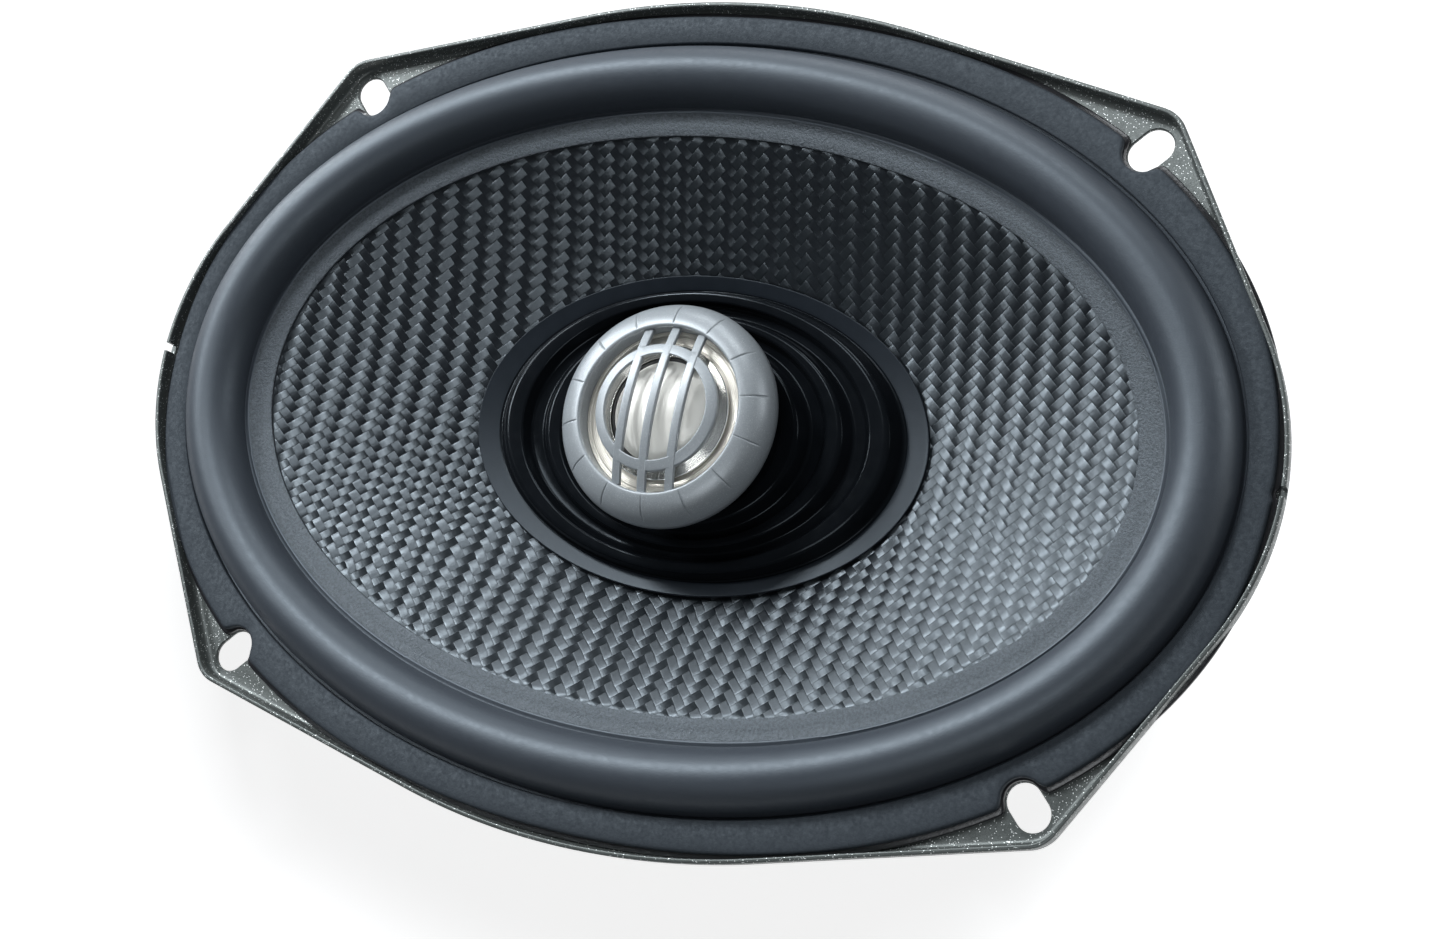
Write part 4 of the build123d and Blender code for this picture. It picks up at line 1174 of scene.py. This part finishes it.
def build_tab(name, side, thick):
    """Spade terminal with a chamfered, pierced blade."""
    width, soft = TAB_WIDTH[side], 0.1
    levels = [(0, -soft), (soft, 0), (thick - soft, 0), (thick, -soft)]
    base = prism("base", rounded_rectangle(width, 7.0, 0.4), levels)
    base.data.transform(Matrix.Translation(Vector((0, TAB_Y + 3.5, BOARD_THICK)) * MM))
    half, tip, top = width / 2, 0.28 * width, 7.5
    outline = [(-half, 0.05), (half, 0.05), (half, top - 1.3), (tip, top), (-tip, top), (-half, top - 1.3)]
    blade = prism("blade", outline, levels)
    hole = [(0.16 * width * math.cos(a), 4.6 + 0.16 * width * math.sin(a)) for a in angles(24)]
    carve(blade, [prism("hole", hole, [(-1, 0), (2, 0)])])
    upright = Matrix.Rotation(math.pi / 2, 4, "X")
    blade.data.transform(Matrix.Translation(Vector((0, TAB_Y + thick, BOARD_THICK)) * MM) @ upright)
    tab = join_meshes(name, [base, blade], 30.0)
    tab.data.materials.clear()
    tab.data.materials.append(MAT["tin"])
    return on_board(tab, side * TAB_X)


def build_capacitor():
    """Sleeved can with a crimped groove and bare recessed ends."""
    section = [
        (0.0, -7.75), (2.9, -7.75), (3.1, -8.0), (3.9, -8.0), (4.0, -7.7), (4.0, -6.3),
        (3.66, -5.9), (3.66, -5.6), (4.0, -5.2), (4.0, 7.6), (3.9, 8.0), (3.1, 8.0),
        (2.9, 7.75), (0.0, 7.75),
    ]
    radii = [0, 0.1, 0.1, 0.2, 0.2, 0.3, 0.2, 0.2, 0.3, 0.3, 0.2, 0.1, 0.1, 0]
    can = turned("capacitor_can", section, MAT["sleeve"], radii, 64)
    can.data.materials.append(MAT["former"])
    for face in can.data.polygons:
        face.material_index = int(math.hypot(face.center.x, face.center.y) < 3.3 * MM)
    return on_board(can, 0, CAP_Y, BOARD_THICK + CAP_R + 0.1, Matrix.Rotation(math.pi / 2, 4, "Y"))


def smooth_path(points, bend=1.6, steps=9, spacing=0.7):
    """Evenly dense points along straight runs joined by bends."""
    points = [np.array(p, float) for p in points]
    path = [points[0]]
    for before, corner, after in zip(points, points[1:], points[2:]):
        first = corner + (before - corner) * bend / np.linalg.norm(before - corner)
        last = corner + (after - corner) * bend / np.linalg.norm(after - corner)
        path.append(first)
        for u in np.linspace(0, 1, steps)[1:]:
            path.append((1 - u) ** 2 * first + 2 * u * (1 - u) * corner + u ** 2 * last)
    path.append(points[-1])
    dense = [path[0]]
    for a, b in zip(path, path[1:]):
        pieces = max(1, int(np.linalg.norm(b - a) / spacing))
        dense += [a + (b - a) * k / pieces for k in range(1, pieces + 1)]
    return np.array(dense)


def twisted_wire(name, path, radius, material, strands=6, pitch=4.5):
    """Stranded wire along a path; returns it with each vertex's share of the length."""
    count = 30
    step = np.gradient(path, axis=0)
    step /= np.linalg.norm(step, axis=1, keepdims=True)
    run = np.concatenate([[0], np.cumsum(np.linalg.norm(np.diff(path, axis=0), axis=1))])
    side = np.cross(step[0], [0.3, 0.2, 0.9])
    loops = []
    for point, ahead, far in zip(path, step, run):
        side = side - ahead * (side @ ahead)
        side /= np.linalg.norm(side)
        other = np.cross(ahead, side)
        t = angles(count)
        r = radius * (0.92 + 0.08 * np.cos(strands * (t + TURN * far / pitch)))[:, None]
        loops.append(point + r * (np.cos(t)[:, None] * side + np.sin(t)[:, None] * other))
    wire = loops_object(name, loops, material, closed=False, crease=60.0)
    return wire, np.repeat(run / run[-1], count)


def build_tinsel(name, side):
    """Limp twisted lead from its tab through the window to the cone."""
    board = np.array(board_matrix())
    edge = TAB_X + TAB_WIDTH[side] / 2
    starts = [(side * edge, 3.2, BOARD_THICK + 0.8), (side * 20.0, 4.5, BOARD_THICK + 1.2)]
    points = [board[:3, :3] @ p + board[:3, 3] / MM for p in starts]
    points += [
        (side * 22.0, -60.0, -24.0), (side * 18.5, -45.0, -27.5), (side * 15.5, -33.0, -26.5),
        (side * LEAD_X, LEAD_Y, -24.4), (side * LEAD_X, LEAD_Y, -21.2),
    ]
    return twisted_wire(name, smooth_path(points), 0.6, MAT["tinsel"])


def cone_underside(x, y):
    """Height of the cone's rear face over a point of the plan."""
    low, high = 0.0, 1.0
    for _step in range(30):
        share = (low + high) / 2
        a = NECK_R + (BREAK_A - NECK_R) * share
        b = NECK_R + (BREAK_B - NECK_R) * share
        inside = (x / a) ** 2 + (y / b) ** 2 < 1
        low, high = (low, share) if inside else (share, high)
    return NECK_Z + (BREAK_Z - NECK_Z) * low - PAPER


def build_eyelets():
    """Round dabs of adhesive that spread on to the cone's rear face."""
    made = []
    for side in (-1, 1):
        section = [(0.0, -21.4), (1.0, -21.35), (1.65, -20.9), (1.8, -20.2), (2.3, -19.0), (0.0, -19.0)]
        dab = turned("dab", section, MAT["tin"], [0, 0.3, 0.4, 0.5, 0, 0], 48)
        for vertex in dab.data.vertices:
            x, y = vertex.co.x / MM + side * LEAD_X, vertex.co.y / MM + LEAD_Y
            if vertex.co.z > -19.05 * MM:
                vertex.co.z = (cone_underside(x, y) + 0.15) * MM
            vertex.co.x, vertex.co.y = x * MM, y * MM
        made.append(dab)
    return join_meshes("lead_dabs", made)


# ---- put together -----------------------------------------------------------------------
def put(piece, body, node):
    """Rides a piece on a body and hides the CAD node it stands for."""
    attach(piece, body)
    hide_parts(node)


def put_between(piece, share, node):
    """Works out a piece's shares between the frame and a moving body, and hides the CAD node it stands for.
    """
    radial_blend(piece, share)
    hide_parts(node)


def ring_share(outer, width):
    """Share that is 0 at the outer radius and rises to 1 over a width inwards."""
    return lambda points: (outer - np.hypot(points[:, 0], points[:, 1])) / width


def oval_share(points, inner, outer):
    """0 at the outer oval and 1 at the inner one, by distance in between."""
    x, y = points[:, 0], points[:, 1]
    r_in = np.sqrt((x / inner[0]) ** 2 + (y / inner[1]) ** 2)
    r_out = np.sqrt((x / outer[0]) ** 2 + (y / outer[1]) ** 2)
    from_in = np.maximum(r_in - 1, 0) / r_in
    from_out = np.maximum(1 - r_out, 0) / r_out
    return from_out / np.maximum(from_in + from_out, 1e-9)


put(build_basket(), "frame", "basket")
put(build_gasket(), "frame", "front_gasket")
put_between(
    build_surround(),
    lambda p: oval_share(p, (RIM_A + 0.4, RIM_B + 0.4), (110.0, 75.2)), "surround"
)
put(build_cone(), "cone_assembly", "cone")
put(build_centre_ring(), "cone_assembly", "centre_ring")
put_between(build_spider(), ring_share(46.0, 27.5), "spider")
put(build_bezel(), "frame", "tweeter_bezel")
put(build_guard(), "frame", "tweeter_guard")
put(build_dome(), "tweeter_diaphragm", "tweeter_dome")
put(build_trim_ring(), "frame", "tweeter_trim_ring")
put(build_faceplate(), "frame", "tweeter_faceplate")
put_between(
    build_tweeter_suspension(), ring_share(10.95, 0.7),
    "tweeter_suspension"
)
put(build_housing(), "frame", "tweeter_housing")
put(build_post(), "frame", "tweeter_post")
put(build_top_plate(), "frame", "top_plate")
put(build_boot(), "frame", "magnet_boot")
put(build_yoke(), "frame", "yoke")
put(build_bolt(), "frame", "post_bolt")
put(build_rivets(), "frame", "motor_rivets")

put(build_board(), "frame", "terminal_board")
put(build_board_rivets(), "frame", "terminal_rivets")
put(build_tab("spade_positive", -1, 0.8), "frame", "positive_tab")
put(build_tab("spade_negative", 1, 0.5), "frame", "negative_tab")
put(build_capacitor(), "frame", "crossover_capacitor")
put(build_eyelets(), "cone_assembly", "tinsel_eyelets")
for side, name in ((-1, "tinsel_positive"), (1, "tinsel_negative")):
    lead, along_lead = build_tinsel(name, side)
    put_between(lead, lambda _p, share=along_lead: share, "tinsel_leads")

KEPT = {
    "coil_former": "former", "voice_coil": "winding", "ring_magnet": "ferrite",
    "post_washer": "zinc", "tweeter_coil_former": "former", "tweeter_coil": "winding",
    "tweeter_cup": "zinc", "tweeter_magnet": "zinc", "tweeter_pole_cap": "zinc",
    "tweeter_felt": "felt", "capacitor_leads": "tin", "tweeter_leads": "wire",
}
for node, finish in KEPT.items():
    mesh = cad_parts[node].data
    mesh.materials.clear()
    mesh.materials.append(MAT[finish])


# ---- stage ------------------------------------------------------------------------------
LAMP_FAR = 0.85
# Each lamp's name, its azimuth and elevation in degrees, its edge in metres and its power in watts.
LAMPS = (
    ("low_left", 150, 10, 0.30, 2.5),
    ("low_back", 100, 10, 0.30, 1.5),
    ("low_right", 30, 10, 0.30, 1.5),
    ("back_left", 150, 30, 0.20, 2.0),
    ("back", 80, 30, 0.20, 1.5),
    ("key", 130, 45, 0.12, 4.0),
    ("left", 165, 40, 0.12, 2.0),
    ("top", 110, 60, 0.20, 1.5),
    ("front", -60, 55, 0.30, 1.5),
)
FLOOR_LAMP = ("floor_key", 35, 60, 0.25, 4.0)
CAMERA_AT = (0.1743, -0.0763, 0.3647)
CAMERA_TURN = (14.559, 21.2348, 12.9221)     # degrees about X, Y and Z
CAMERA_LENS = 53.0


def build_floor():
    """Pale sweep: flat under the speaker, far larger than the view."""
    mesh = bpy.data.meshes.new("floor")
    size, z = 3.0, CAD_BOX[0][2] - 0.0002
    corners = [(-size, -size, z), (size, -size, z), (size, size, z), (-size, size, z)]
    mesh.from_pydata(corners, [], [(0, 1, 2, 3)])
    floor = bpy.data.objects.new("floor", mesh)
    bpy.context.scene.collection.objects.link(floor)
    s = Shader("floor_paper", Roughness=0.9, Specular_IOR_Level=0.0, Emission_Strength=0.82)
    s.bsdf.inputs["Emission Color"].default_value = (1.0, 1.0, 1.0, 1.0)
    s.color(s.mix(s.noise(0.01, 2), (0.86, 0.86, 0.86), (0.88, 0.88, 0.88)))
    mesh.materials.append(s.done())
    return floor


def softbox(name, azimuth, elevation, edge, power, receivers):
    """Square area light that faces the speaker and lights only its receivers."""
    data = bpy.data.lights.new(name, "AREA")
    data.shape = "SQUARE"
    data.size = edge
    data.energy = power
    data.color = LIGHT_TONE
    light = bpy.data.objects.new(name, data)
    bpy.context.scene.collection.objects.link(light)
    turn, tilt = math.radians(azimuth), math.radians(elevation)
    away = Vector((math.cos(tilt) * math.cos(turn), math.cos(tilt) * math.sin(turn), math.sin(tilt)))
    light.location = away * LAMP_FAR
    light.rotation_euler = away.to_track_quat("Z", "Y").to_euler()
    light.light_linking.receiver_collection = receivers


def light_group(name, floor):
    """Collection that holds the floor, for lamps to be linked to."""
    group = bpy.data.collections.new(name)
    group.objects.link(floor)
    return group


def build_world():
    """Soft grey room that the camera sees as white."""
    world = bpy.data.worlds.new("room")
    bpy.context.scene.world = world
    world.use_nodes = True
    nodes, links = world.node_tree.nodes, world.node_tree.links
    nodes.clear()
    out = nodes.new("ShaderNodeOutputWorld")
    path = nodes.new("ShaderNodeLightPath")
    seen = nodes.new("ShaderNodeBackground")
    felt = nodes.new("ShaderNodeBackground")
    mix = nodes.new("ShaderNodeMixShader")
    seen.inputs["Color"].default_value = (1, 1, 1, 1)
    felt.inputs["Color"].default_value = (*LIGHT_TONE, 1)
    felt.inputs["Strength"].default_value = 0.07
    links.new(path.outputs["Is Camera Ray"], mix.inputs[0])
    links.new(felt.outputs[0], mix.inputs[1])
    links.new(seen.outputs[0], mix.inputs[2])
    links.new(mix.outputs[0], out.inputs[0])


def build_camera():
    """Camera 0.41 m away, 28 degrees off the speaker's axis, with a 53 mm lens."""
    data = bpy.data.cameras.new("camera")
    data.lens = CAMERA_LENS
    data.sensor_width = 36.0
    data.clip_start, data.clip_end = 0.01, 20.0
    camera = bpy.data.objects.new("camera", data)
    bpy.context.scene.collection.objects.link(camera)
    camera.location = CAMERA_AT
    camera.rotation_euler = [math.radians(angle) for angle in CAMERA_TURN]
    bpy.context.scene.camera = camera


floor = build_floor()
build_world()
build_camera()
off_floor = light_group("off_floor", floor)
off_floor.collection_objects[0].light_linking.link_state = "EXCLUDE"
for lamp in LAMPS:
    softbox(*lamp, off_floor)
softbox(*FLOOR_LAMP, light_group("on_floor", floor))
bpy.context.scene.view_settings.view_transform = "Standard"
